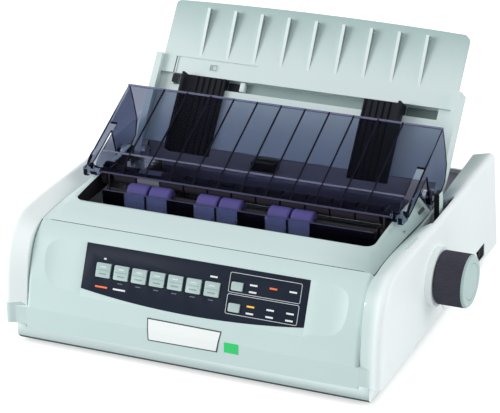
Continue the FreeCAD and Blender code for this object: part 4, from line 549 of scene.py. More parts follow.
class Datum:
    """Turns places measured on the printer, in millimetres, into the frame's metres."""

    fascia_setback: float = 5.0
    panel_foot: tuple[float, float] = (14.2, 62.0)
    panel_lean: float = 25.6
    panel_proud: float = 0.5
    separator_pivot: tuple[float, float] = (230.0, 103.0)
    separator_lean: float = 52.0

    def __init__(self) -> None:
        """Finds the case's centre line and its foremost line."""
        low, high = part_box("front_fascia")
        self.centre_x = (low.x + high.x) / 2
        self.front_y = low.y - self.fascia_setback * MM
        lean = math.radians(self.panel_lean)
        self.panel_up = Vector((0, math.sin(lean), math.cos(lean)))
        self.panel_out = Vector((0, -math.cos(lean), math.sin(lean)))
        slope = math.radians(self.separator_lean)
        self.separator_up = Vector((0, math.cos(slope), math.sin(slope)))
        self.separator_out = Vector((0, -math.sin(slope), math.cos(slope)))

    def at(self, x: float, y: float, z: float) -> Vector:
        """Gives the point that lies x right of the centre, y behind the front and z over the floor."""
        return Vector((self.centre_x + x * MM, self.front_y + y * MM, z * MM))

    def _laid(self, foot: Vector, along: Vector, normal: Vector, up: float, out: float) -> Matrix:
        """Gives the turn and place that lays a mark on a leaning face.

        Args:
            foot: Where the mark's distance up the face starts.
            along: The face's upward direction.
            normal: The face's outward direction.
            up: Distance up the face in millimetres.
            out: Height over the foot's plane in millimetres.

        Returns:
            The matrix from the mark's own axes, x across, y up and z out, to the frame.
        """
        turn = Matrix((X_AXIS, along, normal)).transposed().to_4x4()
        return Matrix.Translation(foot + (along * up + normal * out) * MM) @ turn

    def on_panel(self, x: float, up: float, out: float = 0.0) -> Matrix:
        """Lays a mark on the control panel, at x from the centre, up the panel and out of its face."""
        foot = self.at(x, *self.panel_foot)
        return self._laid(foot, self.panel_up, self.panel_out, up, self.panel_proud + out)

    def on_separator(self, x: float, up: float, out: float = 0.0) -> Matrix:
        """Lays a mark on the separator, at x from the centre, up from its pivot and out of it."""
        pivot = self.at(x, *self.separator_pivot)
        return self._laid(pivot, self.separator_up, self.separator_out, up, out)

    def separator_place(self, point: Vector) -> tuple[float, float, float]:
        """Gives a point's distances across the separator, up it and out of it, in millimetres."""
        offset = (point - self.at(0, *self.separator_pivot)) / MM
        return offset.x, offset.dot(self.separator_up), offset.dot(self.separator_out)

    def panel_place(self, point: Vector) -> tuple[float, float, float]:
        """Gives a point's distances across the panel, up it and out of it, in millimetres."""
        offset = (point - self.at(0, *self.panel_foot)) / MM
        return offset.x, offset.dot(self.panel_up), offset.dot(self.panel_out)


class Bench:
    """The modelling steps that the printer's pieces share."""

    @staticmethod
    def clear() -> None:
        """Deselects everything in object mode."""
        if bpy.context.mode != "OBJECT":
            bpy.ops.object.mode_set(mode="OBJECT")
        bpy.ops.object.select_all(action="DESELECT")

    @staticmethod
    def hold(piece: bpy.types.Object) -> None:
        """Makes one object the selected and active one."""
        Bench.clear()
        piece.select_set(True)
        bpy.context.view_layer.objects.active = piece

    @staticmethod
    def settle(piece: bpy.types.Object, turn: Matrix | None = None) -> None:
        """Moves a piece by a matrix and puts its place into its mesh."""
        Bench.hold(piece)
        if turn is not None:
            piece.matrix_world = turn @ piece.matrix_world
        bpy.ops.object.transform_apply(location=True, rotation=True, scale=True)

    @staticmethod
    def smooth(piece: bpy.types.Object, degrees: float = 32.0) -> None:
        """Shades a piece smooth where its faces meet at less than an angle."""
        Bench.hold(piece)
        bpy.ops.object.shade_smooth_by_angle(angle=math.radians(degrees))

    @staticmethod
    def modify(piece: bpy.types.Object, kind: str, **settings: object) -> None:
        """Adds a modifier with its settings and applies it."""
        Bench.hold(piece)
        modifier = piece.modifiers.new(kind.lower(), kind)
        for name, value in settings.items():
            setattr(modifier, name, value)
        bpy.ops.object.modifier_apply(modifier=modifier.name)

    @staticmethod
    def flat(name: str, width: float, height: float, corner: float, thickness: float,
             line: float = 0.0) -> bpy.types.Object:
        """Makes a thin rounded plate, or only its outline, lying on the XY plane.

        Args:
            name: Name of the piece.
            width: Size along X in millimetres.
            height: Size along Y in millimetres.
            corner: Radius of the rounded corners in millimetres.
            thickness: Height over the plane in millimetres.
            line: Width of the outline in millimetres, or 0 for a full plate.

        Returns:
            The new object, at the origin.
        """
        Bench.clear()
        bpy.ops.mesh.primitive_plane_add(size=1, location=(0, 0, 0))
        piece = bpy.context.active_object
        piece.name = name
        bpy.ops.object.mode_set(mode="EDIT")
        bpy.ops.mesh.select_all(action="SELECT")
        bpy.ops.transform.resize(value=(width * MM, height * MM, 1))
        bpy.ops.mesh.bevel(offset=corner * MM, segments=4, affect="VERTICES")
        if line:
            bpy.ops.mesh.select_all(action="SELECT")
            bpy.ops.mesh.inset(thickness=line * MM)
            bpy.ops.mesh.delete(type="FACE")
        bpy.ops.mesh.select_all(action="SELECT")
        bpy.ops.mesh.extrude_region_move(TRANSFORM_OT_translate={"value": (0, 0, thickness * MM)})
        bpy.ops.mesh.select_all(action="SELECT")
        bpy.ops.mesh.normals_make_consistent(inside=False)
        bpy.ops.object.mode_set(mode="OBJECT")
        return piece

    @staticmethod
    def join(name: str, parts: list[bpy.types.Object]) -> bpy.types.Object:
        """Joins several objects into one piece of the given name."""
        Bench.hold(parts[0])
        for part in parts:
            part.select_set(True)
        if len(parts) > 1:
            bpy.ops.object.join()
        parts[0].name = name
        parts[0].data.name = name
        return parts[0]

    @staticmethod
    def copies(first: bpy.types.Object, places: list[Matrix]) -> list[bpy.types.Object]:
        """Copies one piece, each copy with its own mesh, to every place, and removes the first."""
        made = []
        for number, place in enumerate(places):
            copy = bpy.data.objects.new(f"{first.name}_{number}", first.data.copy())
            bpy.context.scene.collection.objects.link(copy)
            Bench.settle(copy, place)
            made.append(copy)
        bpy.data.objects.remove(first)
        return made

    @staticmethod
    def repaint(piece: bpy.types.Object, finish: Finish,
                chosen: Callable[[bpy.types.MeshPolygon], bool]) -> None:
        """Gives the chosen faces of a piece another finish.

        Args:
            piece: The piece or node.
            finish: The finish that the chosen faces get.
            chosen: Says of a face whether it is one of them.
        """
        piece.data.materials.append(finish.material())
        number = len(piece.data.materials) - 1
        for face in piece.data.polygons:
            if chosen(face):
                face.material_index = number

    @staticmethod
    def finish(piece: bpy.types.Object, finish: Finish, body: str, slot: str) -> bpy.types.Object:
        """Gives a piece its finish and the body it moves with."""
        piece.data.materials.clear()
        piece.data.materials.append(finish.material())
        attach(piece, body)
        log.info("piece %s rides on %s and wears %s", piece.name, body, finish.value.name)
        return piece


@dataclass
class SoftShell:
    """A moulded shell: a copy of a node with its long sharp edges eased, which stands for the node."""

    node: str
    finish: Finish
    body: str
    slot: str
    width: float = 0.5
    shortest: float = 4.0
    segments: int = 2
    edge_angle: float = 40.0
    smooth_angle: float = 32.0
    level_angle: float = 0.3
    merge: float = 0.004

    def build(self) -> bpy.types.Object:
        """Copies, merges and eases the node's mesh and gives the new piece."""
        piece = bpy.data.objects.new(self.node + "_shell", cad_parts[self.node].data.copy())
        bpy.context.scene.collection.objects.link(piece)
        Bench.hold(piece)
        bpy.ops.object.mode_set(mode="EDIT")
        bpy.ops.mesh.select_all(action="SELECT")
        bpy.ops.mesh.remove_doubles(threshold=self.merge * MM)
        bpy.ops.mesh.select_all(action="SELECT")
        bpy.ops.mesh.dissolve_limited(angle_limit=math.radians(self.level_angle))
        bpy.ops.object.mode_set(mode="OBJECT")
        self._weigh_edges(piece)
        Bench.modify(piece, "BEVEL", width=self.width * MM, segments=self.segments, limit_method="WEIGHT",
                     use_clamp_overlap=False, miter_outer="MITER_ARC")
        Bench.modify(piece, "TRIANGULATE", keep_custom_normals=False)
        Bench.smooth(piece, self.smooth_angle)
        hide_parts(self.node)
        return Bench.finish(piece, self.finish, self.body, self.slot)

    def _weigh_edges(self, piece: bpy.types.Object) -> None:
        """Marks the long sharp edges for the bevel."""
        mesh = piece.data
        faces_at = {}
        for face in mesh.polygons:
            for key in face.edge_keys:
                faces_at.setdefault(key, []).append(face.normal)
        weights = mesh.attributes.new("bevel_weight_edge", "FLOAT", "EDGE")
        limit = math.radians(self.edge_angle)
        for edge in mesh.edges:
            sides = faces_at.get(tuple(sorted(edge.vertices)), [])
            first, second = (mesh.vertices[number].co for number in edge.vertices)
            if len(sides) == 2 and (first - second).length > self.shortest * MM:
                if sides[0].angle(sides[1], 0.0) > limit:
                    weights.data[edge.index].value = 1.0


@dataclass
class Casework:
    """The case, the covers and the other moulded shells with eased edges."""

    corner_height: float = 40.0
    corner_reach: float = 6.0
    band_from: float = 145.0
    band_turn: float = 0.85
    chin_reach: float = 60.0
    leaning: float = 0.3
    opening_wall: float = 6.0
    seam_length: float = 318.0
    seam_width: float = 0.7
    seam_depth: float = 1.2
    seam_place: tuple[float, float] = (45.75, 107.9)
    seam_round: float = 0.15

    def build(self, datum: Datum) -> None:
        """Makes every shell and paints the faces that differ."""
        for node, finish, body, slot in (
                # The rear deck wears painted shade.
                ("rear_deck", Finish.DEPTH, "base", "case_plastic"),
                ("left_paper_guide", Finish.DARK, "left_guide", "dark_plastic"),
                ("right_paper_guide", Finish.DARK, "right_guide", "dark_plastic"),
                ("control_panel", Finish.PANEL, "base", "panel_black"),
                ("switch_housing", Finish.BLACK, "base", "black_plastic"),
                ("print_head", Finish.MOTOR, "carriage", "motor_metal"),
                ("print_carriage", Finish.BLACK, "carriage", "black_plastic"),
                ("ribbon_cartridge", Finish.DARK, "carriage", "dark_plastic")):
            SoftShell(node, finish, body, slot).build()
        self._shade_base(SoftShell("lower_case", Finish.CASE, "base", "case_plastic").build())
        self._shade_bands()
        self._shade_opening(SoftShell("deck_cover", Finish.DECK, "top_deck", "case_plastic").build())
        self._seam(datum)

    def _shade_bands(self) -> None:
        """Tones the upper case's low front corners, and paints shade on its right band."""
        front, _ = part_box("front_fascia")
        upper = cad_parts["upper_case"]

        def at_corner(face: bpy.types.MeshPolygon) -> bool:
            """Says whether a face looks forward, low beside the fascia."""
            near = face.center.y < front.y + self.corner_reach * MM
            return near and face.center.z < self.corner_height * MM and face.normal.y < -FACING

        Bench.repaint(upper, Finish.COVER, at_corner)
        Bench.repaint(upper, Finish.BAND, lambda face: face.center.x > self.band_from * MM
                      and face.normal.x < self.band_turn)

    def _shade_base(self, tray: bpy.types.Object) -> None:
        """Paints shade on the tray's chin, and dark shade on its underside."""
        front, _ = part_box("front_fascia")
        Bench.repaint(tray, Finish.CHIN, lambda face: face.center.y < front.y + self.chin_reach * MM
                      and face.normal.y < -self.leaning)
        Bench.repaint(tray, Finish.BASE, lambda face: face.normal.z < -self.leaning)

    def _seam(self, datum: Datum) -> None:
        """Lays a black strip in the seam between the fascia and the deck, as painted shade in the gap."""
        bpy.ops.mesh.primitive_cube_add(size=1, location=(0, 0, 0))
        strip = bpy.context.active_object
        strip.name = "deck_seam_shade_strip"
        strip.data.transform(Matrix.Diagonal((self.seam_length * MM, self.seam_width * MM,
                                              self.seam_depth * MM, 1.0)))
        Bench.settle(strip, Matrix.Translation(datum.at(0, *self.seam_place)))
        Bench.modify(strip, "BEVEL", width=self.seam_round * MM, segments=1)
        Bench.finish(strip, Finish.BLACK, "base", "black_plastic")

    def _shade_opening(self, deck: bpy.types.Object) -> None:
        """Blackens the underside of the deck and the walls that face into its opening, as painted shade."""
        low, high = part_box("deck_cover")
        half = (high.x - low.x) / 2
        middle = (high.x + low.x) / 2
        wall = self.opening_wall * MM

        def hidden(face: bpy.types.MeshPolygon) -> bool:
            """Says whether a face looks down or into the opening."""
            inside = abs(face.center.x - middle) < half - wall
            return inside and face.normal.z < self.leaning and face.center.y > low.y + wall

        def at_side(face: bpy.types.MeshPolygon) -> bool:
            """Says whether a face is on the deck's outer side walls or its front wall, under the seam."""
            outer = abs(face.center.x - middle) > half - self.seam_width * MM and abs(face.normal.x) > FACING
            front = face.center.y < low.y + self.seam_width * MM and face.normal.y < -FACING
            return outer or front

        # The black on these faces, inside the opening and under the seam, is painted shade.
        Bench.repaint(deck, Finish.BLACK, lambda face: hidden(face) or at_side(face))


@dataclass
class ControlPanel:
    """The marks and lamps on the control panel, and the dividers on its keys."""

    group_middle: float = 67.5
    group_width: float = 68.0
    group_height: float = 17.8
    group_ups: tuple[float, float] = (28.2, 9.2)
    line: float = 0.45
    corner: float = 1.6
    mark_thickness: float = 0.12
    key_names: tuple[str, ...] = ("select_key", "form_feed_key", "line_feed_key", "top_of_form_key",
                                  "tear_key", "park_key", "quiet_key")
    small_key_names: tuple[str, ...] = ("quality_key", "pitch_key")
    first_key_x: float = -88.0
    key_pitch: float = 17.75
    key_up: float = 19.0
    key_face: float = 1.4
    dash: tuple[float, float, float] = (5.0, 0.8, 0.2)
    dash_drop: float = 9.6
    dot: tuple[float, float, float] = (2.6, 1.6, 0.5)
    dot_rise: float = 10.4
    divider: tuple[float, float, float] = (11.4, 0.35, 0.1)
    divider_rise: float = 0.2
    upper_bar: tuple[float, float, float] = (5.6, 1.1, 0.3)
    upper_bar_rise: float = 3.0
    lower_bar: tuple[float, float, float] = (7.2, 1.0, 0.3)
    lower_bar_rise: float = -3.2
    lamps: tuple = ((Finish.ORANGE_LAMP, -88.0, 4.0, 7.0), (Finish.ORANGE_LAMP, 75.4, 28.4, 5.0),
                    (Finish.YELLOW_LAMP, 56.7, 9.6, 5.0))
    lamp_rise: float = 2.5

    def build(self, datum: Datum) -> None:
        """Makes the panel's marks and colours its lamps and keys."""
        groups = [self._outline(datum, number, up) for number, up in enumerate(self.group_ups)]
        Bench.finish(Bench.join("panel_group_lines", groups), Finish.PALE_INK, "base", "lamp_lens")
        self._dashes(datum)
        self._keys(datum)
        self._lamps(datum)

    def _outline(self, datum: Datum, number: int, up: float) -> bpy.types.Object:
        """Makes the thin rounded frame round one group of lamps."""
        frame_line = Bench.flat(f"group_line_{number}", self.group_width, self.group_height, self.corner,
                                self.mark_thickness, self.line)
        Bench.settle(frame_line, datum.on_panel(self.group_middle, up))
        return frame_line

    def _dashes(self, datum: Datum) -> None:
        """Prints the short plain dash above each key, and the dot that marks the first one."""
        mark = Bench.flat("dash", *self.dash, self.mark_thickness)
        places = [datum.on_panel(self.first_key_x + number * self.key_pitch, self.key_up - self.dash_drop)
                  for number in range(1, len(self.key_names))]
        dashes = Bench.join("panel_dashes", Bench.copies(mark, places))
        Bench.finish(dashes, Finish.FAINT_INK, "base", "lamp_lens")
        dot = Bench.flat("panel_dot", *self.dot, self.mark_thickness)
        Bench.settle(dot, datum.on_panel(self.first_key_x, self.key_up + self.dot_rise))
        Bench.finish(dot, Finish.PALE_INK, "base", "lamp_lens")

    def _keys(self, datum: Datum) -> None:
        """Eases every key, and lays a divider and two faint dashes on each large one."""
        for number, name in enumerate(self.key_names + self.small_key_names):
            body = name + "_body"
            SoftShell(name, Finish.KEY, body, "key_plastic", shortest=0.25).build()
            if name in self.small_key_names:
                continue
            x = self.first_key_x + number * self.key_pitch
            marks = []
            for size, rise in ((self.divider, self.divider_rise), (self.upper_bar, self.upper_bar_rise),
                               (self.lower_bar, self.lower_bar_rise)):
                mark = Bench.flat(name + "_bar", *size, self.mark_thickness)
                Bench.settle(mark, datum.on_panel(x, self.key_up + rise, self.key_face))
                marks.append(mark)
            divider, upper, lower = marks
            lines = Bench.join(name + "_marks", [divider, lower])
            Bench.finish(lines, Finish.GREY_INK, body, "key_plastic")
            upper.name = name + "_bar"
            Bench.finish(upper, Finish.KEY_BAR, body, "key_plastic")

    def _lamps(self, datum: Datum) -> None:
        """Colours the lamp bars by their places on the panel."""
        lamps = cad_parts["panel_lamps"]

        def near(x: float, up: float, reach: float) -> Callable[[bpy.types.MeshPolygon], bool]:
            """Gives the test for the faces of the lamp at a place."""
            def chosen(face: bpy.types.MeshPolygon) -> bool:
                """Says whether a face belongs to that lamp."""
                across, over, _ = datum.panel_place(face.center)
                return abs(across - x) < reach and abs(over - up) < self.lamp_rise
            return chosen

        for finish, x, up, reach in self.lamps:
            Bench.repaint(lamps, finish, near(x, up, reach))


@dataclass
class FrontPlate:
    """The bare nameplate and the plain green sticker on the fascia."""

    plate_corners: tuple = ((-39.7, 47.2), (32.3, 46.7), (28.7, 27.2), (-38.7, 26.4))
    sticker_corners: tuple = ((35.5, 38.0), (49.2, 38.0), (49.2, 28.5), (35.5, 28.5))
    steps: int = 12
    lift: float = 0.12
    plate_thickness: float = 0.5
    sticker_thickness: float = 0.25
    border: float = 1.0
    face_rise: float = 0.15
    start_y: float = -20.0
    smooth_angle: float = 30.0

    def build(self, datum: Datum) -> None:
        """Lays the plate and the sticker on the fascia's bowed face."""
        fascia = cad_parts["front_fascia"]
        tree = BVHTree.FromPolygons([vertex.co for vertex in fascia.data.vertices],
                                    [face.vertices for face in fascia.data.polygons])
        plate, sticker = self.plate_thickness, self.sticker_thickness
        for name, corners, inset, thickness, finish, slot in (
                ("nameplate_border", self.plate_corners, 0.0, plate, Finish.INK, "panel_black"),
                ("nameplate", self.plate_corners, self.border, plate + self.face_rise, Finish.PLATE,
                 "case_plastic"),
                ("green_sticker", self.sticker_corners, 0.0, sticker, Finish.GREEN, "case_plastic")):
            Bench.finish(self._sheet(datum, tree, name, corners, inset, thickness), finish, "base", slot)

    def _sheet(self, datum: Datum, tree: BVHTree, name: str, corners: tuple, inset: float,
               thickness: float) -> bpy.types.Object:
        """Makes one thin sheet that follows the fascia between four corners.

        Args:
            datum: The printer's measures.
            tree: The fascia's faces.
            name: Name of the piece.
            corners: Its corners from the top left round, each as x and z in millimetres.
            inset: How far its edge lies inside those corners.
            thickness: How far it stands out of the fascia.

        Returns:
            The sheet, at the origin.
        """
        Bench.clear()
        bpy.ops.mesh.primitive_grid_add(x_subdivisions=self.steps, y_subdivisions=self.steps // 2, size=1,
                                        location=(0, 0, 0))
        piece = bpy.context.active_object
        piece.name = name
        top_left, top_right, low_right, low_left = corners
        for vertex in piece.data.vertices:
            share_x, share_z = vertex.co.x + 0.5, vertex.co.y + 0.5
            left_x = low_left[0] + (top_left[0] - low_left[0]) * share_z + inset
            right_x = low_right[0] + (top_right[0] - low_right[0]) * share_z - inset
            left_z = low_left[1] + (top_left[1] - low_left[1]) * share_z
            right_z = low_right[1] + (top_right[1] - low_right[1]) * share_z
            x = left_x + (right_x - left_x) * share_x
            z = left_z + (right_z - left_z) * share_x - inset * (2 * share_z - 1)
            start = datum.at(x, self.start_y, z)
            hit = tree.ray_cast(start, INWARD)[0]
            vertex.co = hit - INWARD * self.lift * MM if hit else start
        Bench.modify(piece, "SOLIDIFY", thickness=thickness * MM, offset=0.0)
        Bench.hold(piece)
        bpy.ops.object.mode_set(mode="EDIT")
        bpy.ops.mesh.select_all(action="SELECT")
        bpy.ops.mesh.normals_make_consistent(inside=False)
        bpy.ops.object.mode_set(mode="OBJECT")
        Bench.smooth(piece, self.smooth_angle)
        return piece


@dataclass
class SeparatorMarks:
    """The beads, channel, slit, hole and tiny marks on the sheet separator, and the left guide's foot."""

    face: float = 3.9
    channel_floor: float = -4.95
    channel_middle: tuple[float, float, float, float] = (-16.3, 76.3, 239.0, 10.2)
    channel_end: tuple[float, float, float, float] = (119.6, 76.3, 32.0, 9.6)
    end_rise: float = 0.2
    rib_pitch: float = 28.2
    rib_pairs: int = 4
    rib_half: float = 1.6
    rib_rise: float = 0.1
    shaded_turn: float = 0.7
    bead_width: float = 3.4
    bead_ends: tuple[float, float] = (101.2, 148.6)
    bead_rise: float = 1.6
    slit: tuple[float, float, float, float] = (-136.6, 90.0, 1.0, 17.0)
    hole: tuple[float, float, float, float] = (-133.5, 76.0, 6.0, 9.0)
    tab: tuple[float, float, float, float] = (-63.0, 76.3, 5.0, 9.0)
    tab_height: float = 6.0
    tab_corner: float = 0.8
    tab_round: float = 0.4
    foot: tuple[float, float, float, float] = (-70.5, 76.3, 17.0, 7.6)
    foot_thickness: float = 1.2
    foot_clearance: float = 0.4
    marks: tuple = ((-99.2, 1.1, 0.0), (-95.2, 4.6, 0.5))
    mark_up: float = 91.0
    mark_height: float = 5.6
    mark_corner: float = 0.2
    thickness: float = 0.15

    def build(self, datum: Datum) -> None:
        """Makes the small pieces, paints the ribs and lays painted shade on the channel's floor."""
        self._paint_ribs(datum)
        self._bead_ribs(datum)
        self._flat(datum, "channel_floor_pad", self.channel_middle, self.channel_floor, Finish.CHANNEL)
        self._flat(datum, "channel_pad", self.channel_end, self.channel_floor + self.end_rise,
                   Finish.SLOT_END)
        # The slit and the hole are flat dark plates: painted shade where the sheet is open.
        self._flat(datum, "separator_slit", self.slit, self.face, Finish.INK)
        self._flat(datum, "separator_hole", self.hole, self.face, Finish.BLACK)
        self._tab(datum)
        self._feed_marks(datum)

    def _feed_marks(self, datum: Datum) -> None:
        """Makes the bar and the small frame that mark the paper's side."""
        pieces = []
        for number, (x, width, line) in enumerate(self.marks):
            piece = Bench.flat(f"feed_mark_{number}", width, self.mark_height, self.mark_corner,
                               self.thickness, line)
            Bench.settle(piece, datum.on_separator(x, self.mark_up, self.face))
            pieces.append(piece)
        Bench.finish(Bench.join("feed_marks", pieces), Finish.GREY_INK, "sheet_separator", "case_plastic")

    def _bead_ribs(self, datum: Datum) -> None:
        """Lays a round-ended bead along each rib, modelled once and copied."""
        low, high = self.bead_ends
        radius = self.bead_width / 2 * MM
        Bench.clear()
        bpy.ops.mesh.primitive_uv_sphere_add(segments=20, ring_count=12, radius=radius, location=(0, 0, 0))
        first = bpy.context.active_object
        first.name = "rib_bead"
        half = (high - low) / 2 * MM - radius
        for vertex in first.data.vertices:
            vertex.select = vertex.co.y > radius / 20
        bpy.ops.object.mode_set(mode="EDIT")
        bpy.ops.mesh.select_mode(type="VERT")
        bpy.ops.transform.translate(value=(0, half, 0))
        bpy.ops.mesh.select_all(action="INVERT")
        bpy.ops.transform.translate(value=(0, -half, 0))
        bpy.ops.mesh.select_all(action="SELECT")
        bpy.ops.transform.resize(value=(1, 1, 2 * self.bead_rise / self.bead_width))
        bpy.ops.object.mode_set(mode="OBJECT")
        places = [datum.on_separator(number * self.rib_pitch, (low + high) / 2, self.face)
                  for number in range(-self.rib_pairs, self.rib_pairs + 1)]
        for bead in Bench.copies(first, places):
            Bench.smooth(bead)
            # The beads wear the ribs' painted light.
            Bench.finish(bead, Finish.RIB_LIT, "sheet_separator", "case_plastic")

    def _paint_ribs(self, datum: Datum) -> None:
        """Gives the ribs painted light on their faces and painted shade on their right sides."""
        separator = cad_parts["separator"]

        def on_rib(face: bpy.types.MeshPolygon) -> bool:
            """Says whether a face belongs to one of the standing ribs."""
            across, _, out = datum.separator_place(face.center)
            nearest = round(across / self.rib_pitch)
            beside = abs(across - nearest * self.rib_pitch) < self.rib_half and abs(nearest) <= self.rib_pairs
            return beside and out > self.face + self.rib_rise

        Bench.repaint(separator, Finish.RIB_LIT, on_rib)
        Bench.repaint(separator, Finish.RIB_SHADE,
                      lambda face: on_rib(face) and face.normal.x > self.shaded_turn)

    def _flat(self, datum: Datum, name: str, place: tuple[float, float, float, float], out: float,
              finish: Finish) -> None:
        """Lays one thin plate, given by its centre and size, on the separator."""
        x, up, width, height = place
        plate = Bench.flat(name, width, height, min(width, height) / 4, self.thickness)
        Bench.settle(plate, datum.on_separator(x, up, out))
        Bench.finish(plate, finish, "sheet_separator", "case_plastic")

    def _tab(self, datum: Datum) -> None:
        """Makes the left guide's foot in the channel and the small tab that stands on it."""
        made = []
        for name, place, thickness in (("guide_foot", self.foot, self.foot_thickness),
                                       ("channel_tab", self.tab, self.tab_height)):
            x, up, width, height = place
            piece = Bench.flat(name, width, height, self.tab_corner, thickness)
            Bench.settle(piece, datum.on_separator(x, up, self.channel_floor + self.foot_clearance))
            made.append(piece)
        foot, tab = made
        Bench.finish(foot, Finish.DARK, "left_guide", "dark_plastic")
        Bench.modify(tab, "BEVEL", width=self.tab_round * MM, segments=2, limit_method="ANGLE")
        Bench.smooth(tab)
        Bench.finish(tab, Finish.RIB_LIT, "left_guide", "dark_plastic")


@dataclass
class BandMarks:
    """The small raised marks on the right band, toned darker as painted shade, and a dark oval of painted
    shade for the grip in the deck's edge.
    """

    marks: tuple = ((174.6, 91.0), (174.8, 97.5), (175.0, 104.0), (175.2, 110.5))
    size: tuple[float, float, float] = (3.4, 4.6, 0.8)
    line: float = 0.55
    oval: tuple[float, float] = (156.9, 175.0)
    oval_size: tuple[float, float, float] = (3.2, 15.0, 1.5)
    start_height: float = 200.0
    thickness: float = 0.18

    def build(self, datum: Datum) -> None:
        """Makes the marks and the oval."""
        pieces = []
        for number, (x, y) in enumerate(self.marks):
            mark = Bench.flat(f"band_mark_{number}", *self.size, self.thickness, self.line)
            self._lay(datum, mark, "upper_case", x, y)
            pieces.append(mark)
        # The marks' darker tone is painted shade.
        Bench.finish(Bench.join("band_marks", pieces), Finish.EMBOSS_SHADE, "base", "case_plastic")
        # The oval is painted shade for the grip's hollow.
        oval = Bench.flat("deck_grip", *self.oval_size, self.thickness)
        self._lay(datum, oval, "deck_cover", *self.oval)
        Bench.finish(oval, Finish.INK, "top_deck", "panel_black")

    def _lay(self, datum: Datum, piece: bpy.types.Object, node: str, x: float, y: float) -> None:
        """Lays a flat piece on a node, straight below a place."""
        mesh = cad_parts[node].data
        tree = BVHTree.FromPolygons([vertex.co for vertex in mesh.vertices],
                                    [face.vertices for face in mesh.polygons])
        hit, normal, _, _ = tree.ray_cast(datum.at(x, y, self.start_height), DOWN)
        across = INWARD.cross(normal).normalized()
        turn = Matrix((across, normal.cross(across), normal)).transposed().to_4x4()
        Bench.settle(piece, Matrix.Translation(hit) @ turn)


@dataclass
class SmokedShield:
    """The smoked sheet's ribs and edges in dark painted shade and its beads with painted highlights, and the
    roller that is seen below it.
    """

    rib_pitch: float = 24.2
    rib_pairs: int = 5
    rib_half: float = 0.7
    beads: tuple = ((147.5, 136.2), (225.5, 172.3))
    bead_reach: float = 1.5
    lip: tuple[float, float] = (129.0, 122.6)
    lip_reach: float = 1.1
    slope: tuple[float, float] = (78.0, 36.1)
    side_wall: float = 2.2
    edge_turn: float = 0.3
    pale_segment: tuple[float, float] = (-107.5, -83.0)

    def build(self, datum: Datum) -> None:
        """Paints the shield's faces by their places, and the pull-up roller's pale segment."""
        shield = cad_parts["smoked_shield"]
        along = Vector((0, *self.slope)).normalized()
        low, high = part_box("smoked_shield")

        def near(place: tuple[float, float], reach: float) -> Callable[[bpy.types.MeshPolygon], bool]:
            """Gives the test for the faces within a reach of a line across the shield."""
            line = datum.at(0, *place)

            def chosen(face: bpy.types.MeshPolygon) -> bool:
                """Says whether a face lies by that line."""
                return math.hypot(face.center.y - line.y, face.center.z - line.z) < reach * MM
            return chosen

        def dark(face: bpy.types.MeshPolygon) -> bool:
            """Says whether a face is on a rib or a cut edge."""
            across = (face.center.x - datum.centre_x) / MM
            nearest = round(across / self.rib_pitch)
            on_rib = abs(nearest) <= self.rib_pairs and abs(across - nearest * self.rib_pitch) < self.rib_half
            on_side = min(face.center.x - low.x, high.x - face.center.x) < self.side_wall * MM
            cheek_edge = on_side and abs(face.normal.x) < self.edge_turn
            cut_edge = abs(face.normal.dot(along)) > FACING
            return on_rib or cheek_edge or cut_edge

        # The ribs and cut edges are painted dark as painted shade.
        Bench.repaint(shield, Finish.NAVY, dark)
        # The beads and the lip carry painted highlights.
        for place in self.beads:
            Bench.repaint(shield, Finish.EDGE, near(place, self.bead_reach))
        Bench.repaint(shield, Finish.EDGE, near(self.lip, self.lip_reach))
        left, right = (datum.at(end, 0, 0).x for end in self.pale_segment)
        Bench.repaint(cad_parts["pull_up_roller"], Finish.GREY_ROLLER,
                      lambda face: left < face.center.x < right)


@dataclass
class Inside:
    """What shows in the opening: the tear bar's lit teeth and the paper sensor on the rear deck."""

    tooth_height: float = 0.9
    sensor_place: tuple[float, float, float] = (-33.0, 256.0, 89.2)
    sensor_size: tuple[float, float, float] = (24.0, 9.0, 9.0)
    sensor_rim: float = 1.6
    sensor_pocket: float = 5.0
    sensor_round: float = 0.35

    def build(self, datum: Datum) -> None:
        """Paints highlights on the teeth and makes the sensor."""
        _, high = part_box("tear_bar")
        # The teeth carry a painted highlight.
        Bench.repaint(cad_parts["tear_bar"], Finish.EDGE,
                      lambda face: face.center.z > high.z - self.tooth_height * MM)
        Bench.clear()
        bpy.ops.mesh.primitive_cube_add(size=1, location=(0, 0, 0.5))
        sensor = bpy.context.active_object
        sensor.name = "paper_sensor"
        bpy.ops.object.mode_set(mode="EDIT")
        bpy.ops.mesh.select_all(action="SELECT")
        bpy.ops.transform.resize(value=[size * MM for size in self.sensor_size], center_override=(0, 0, 0))
        bpy.ops.object.mode_set(mode="OBJECT")
        for face in sensor.data.polygons:
            face.select = face.normal.y < -FACING
        bpy.ops.object.mode_set(mode="EDIT")
        bpy.ops.mesh.select_mode(type="FACE")
        bpy.ops.mesh.inset(thickness=self.sensor_rim * MM)
        bpy.ops.mesh.extrude_region_move(TRANSFORM_OT_translate={"value": (0, self.sensor_pocket * MM, 0)})
        bpy.ops.object.mode_set(mode="OBJECT")
        Bench.settle(sensor, Matrix.Translation(datum.at(*self.sensor_place)))
        Bench.modify(sensor, "BEVEL", width=self.sensor_round * MM, segments=2, limit_method="ANGLE")
        Bench.smooth(sensor)
        Bench.finish(sensor, Finish.DARK, "base", "dark_plastic")


@dataclass
class PlatenKnob:
    """The knob's pale end cap, and painted light on the paper lever's right side."""

    cap_length: float = 2.65
    side_turn: float = 0.7

    def build(self) -> None:
        """Makes the knob's end pale, and paints light on the lever's right side."""
        _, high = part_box("platen_knob")
        Bench.repaint(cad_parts["platen_knob"], Finish.KNOB_CAP,
                      lambda face: face.center.x > high.x - self.cap_length * MM)
        Bench.repaint(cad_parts["feed_lever"], Finish.KNOB_CAP,
                      lambda face: face.normal.x > self.side_turn)


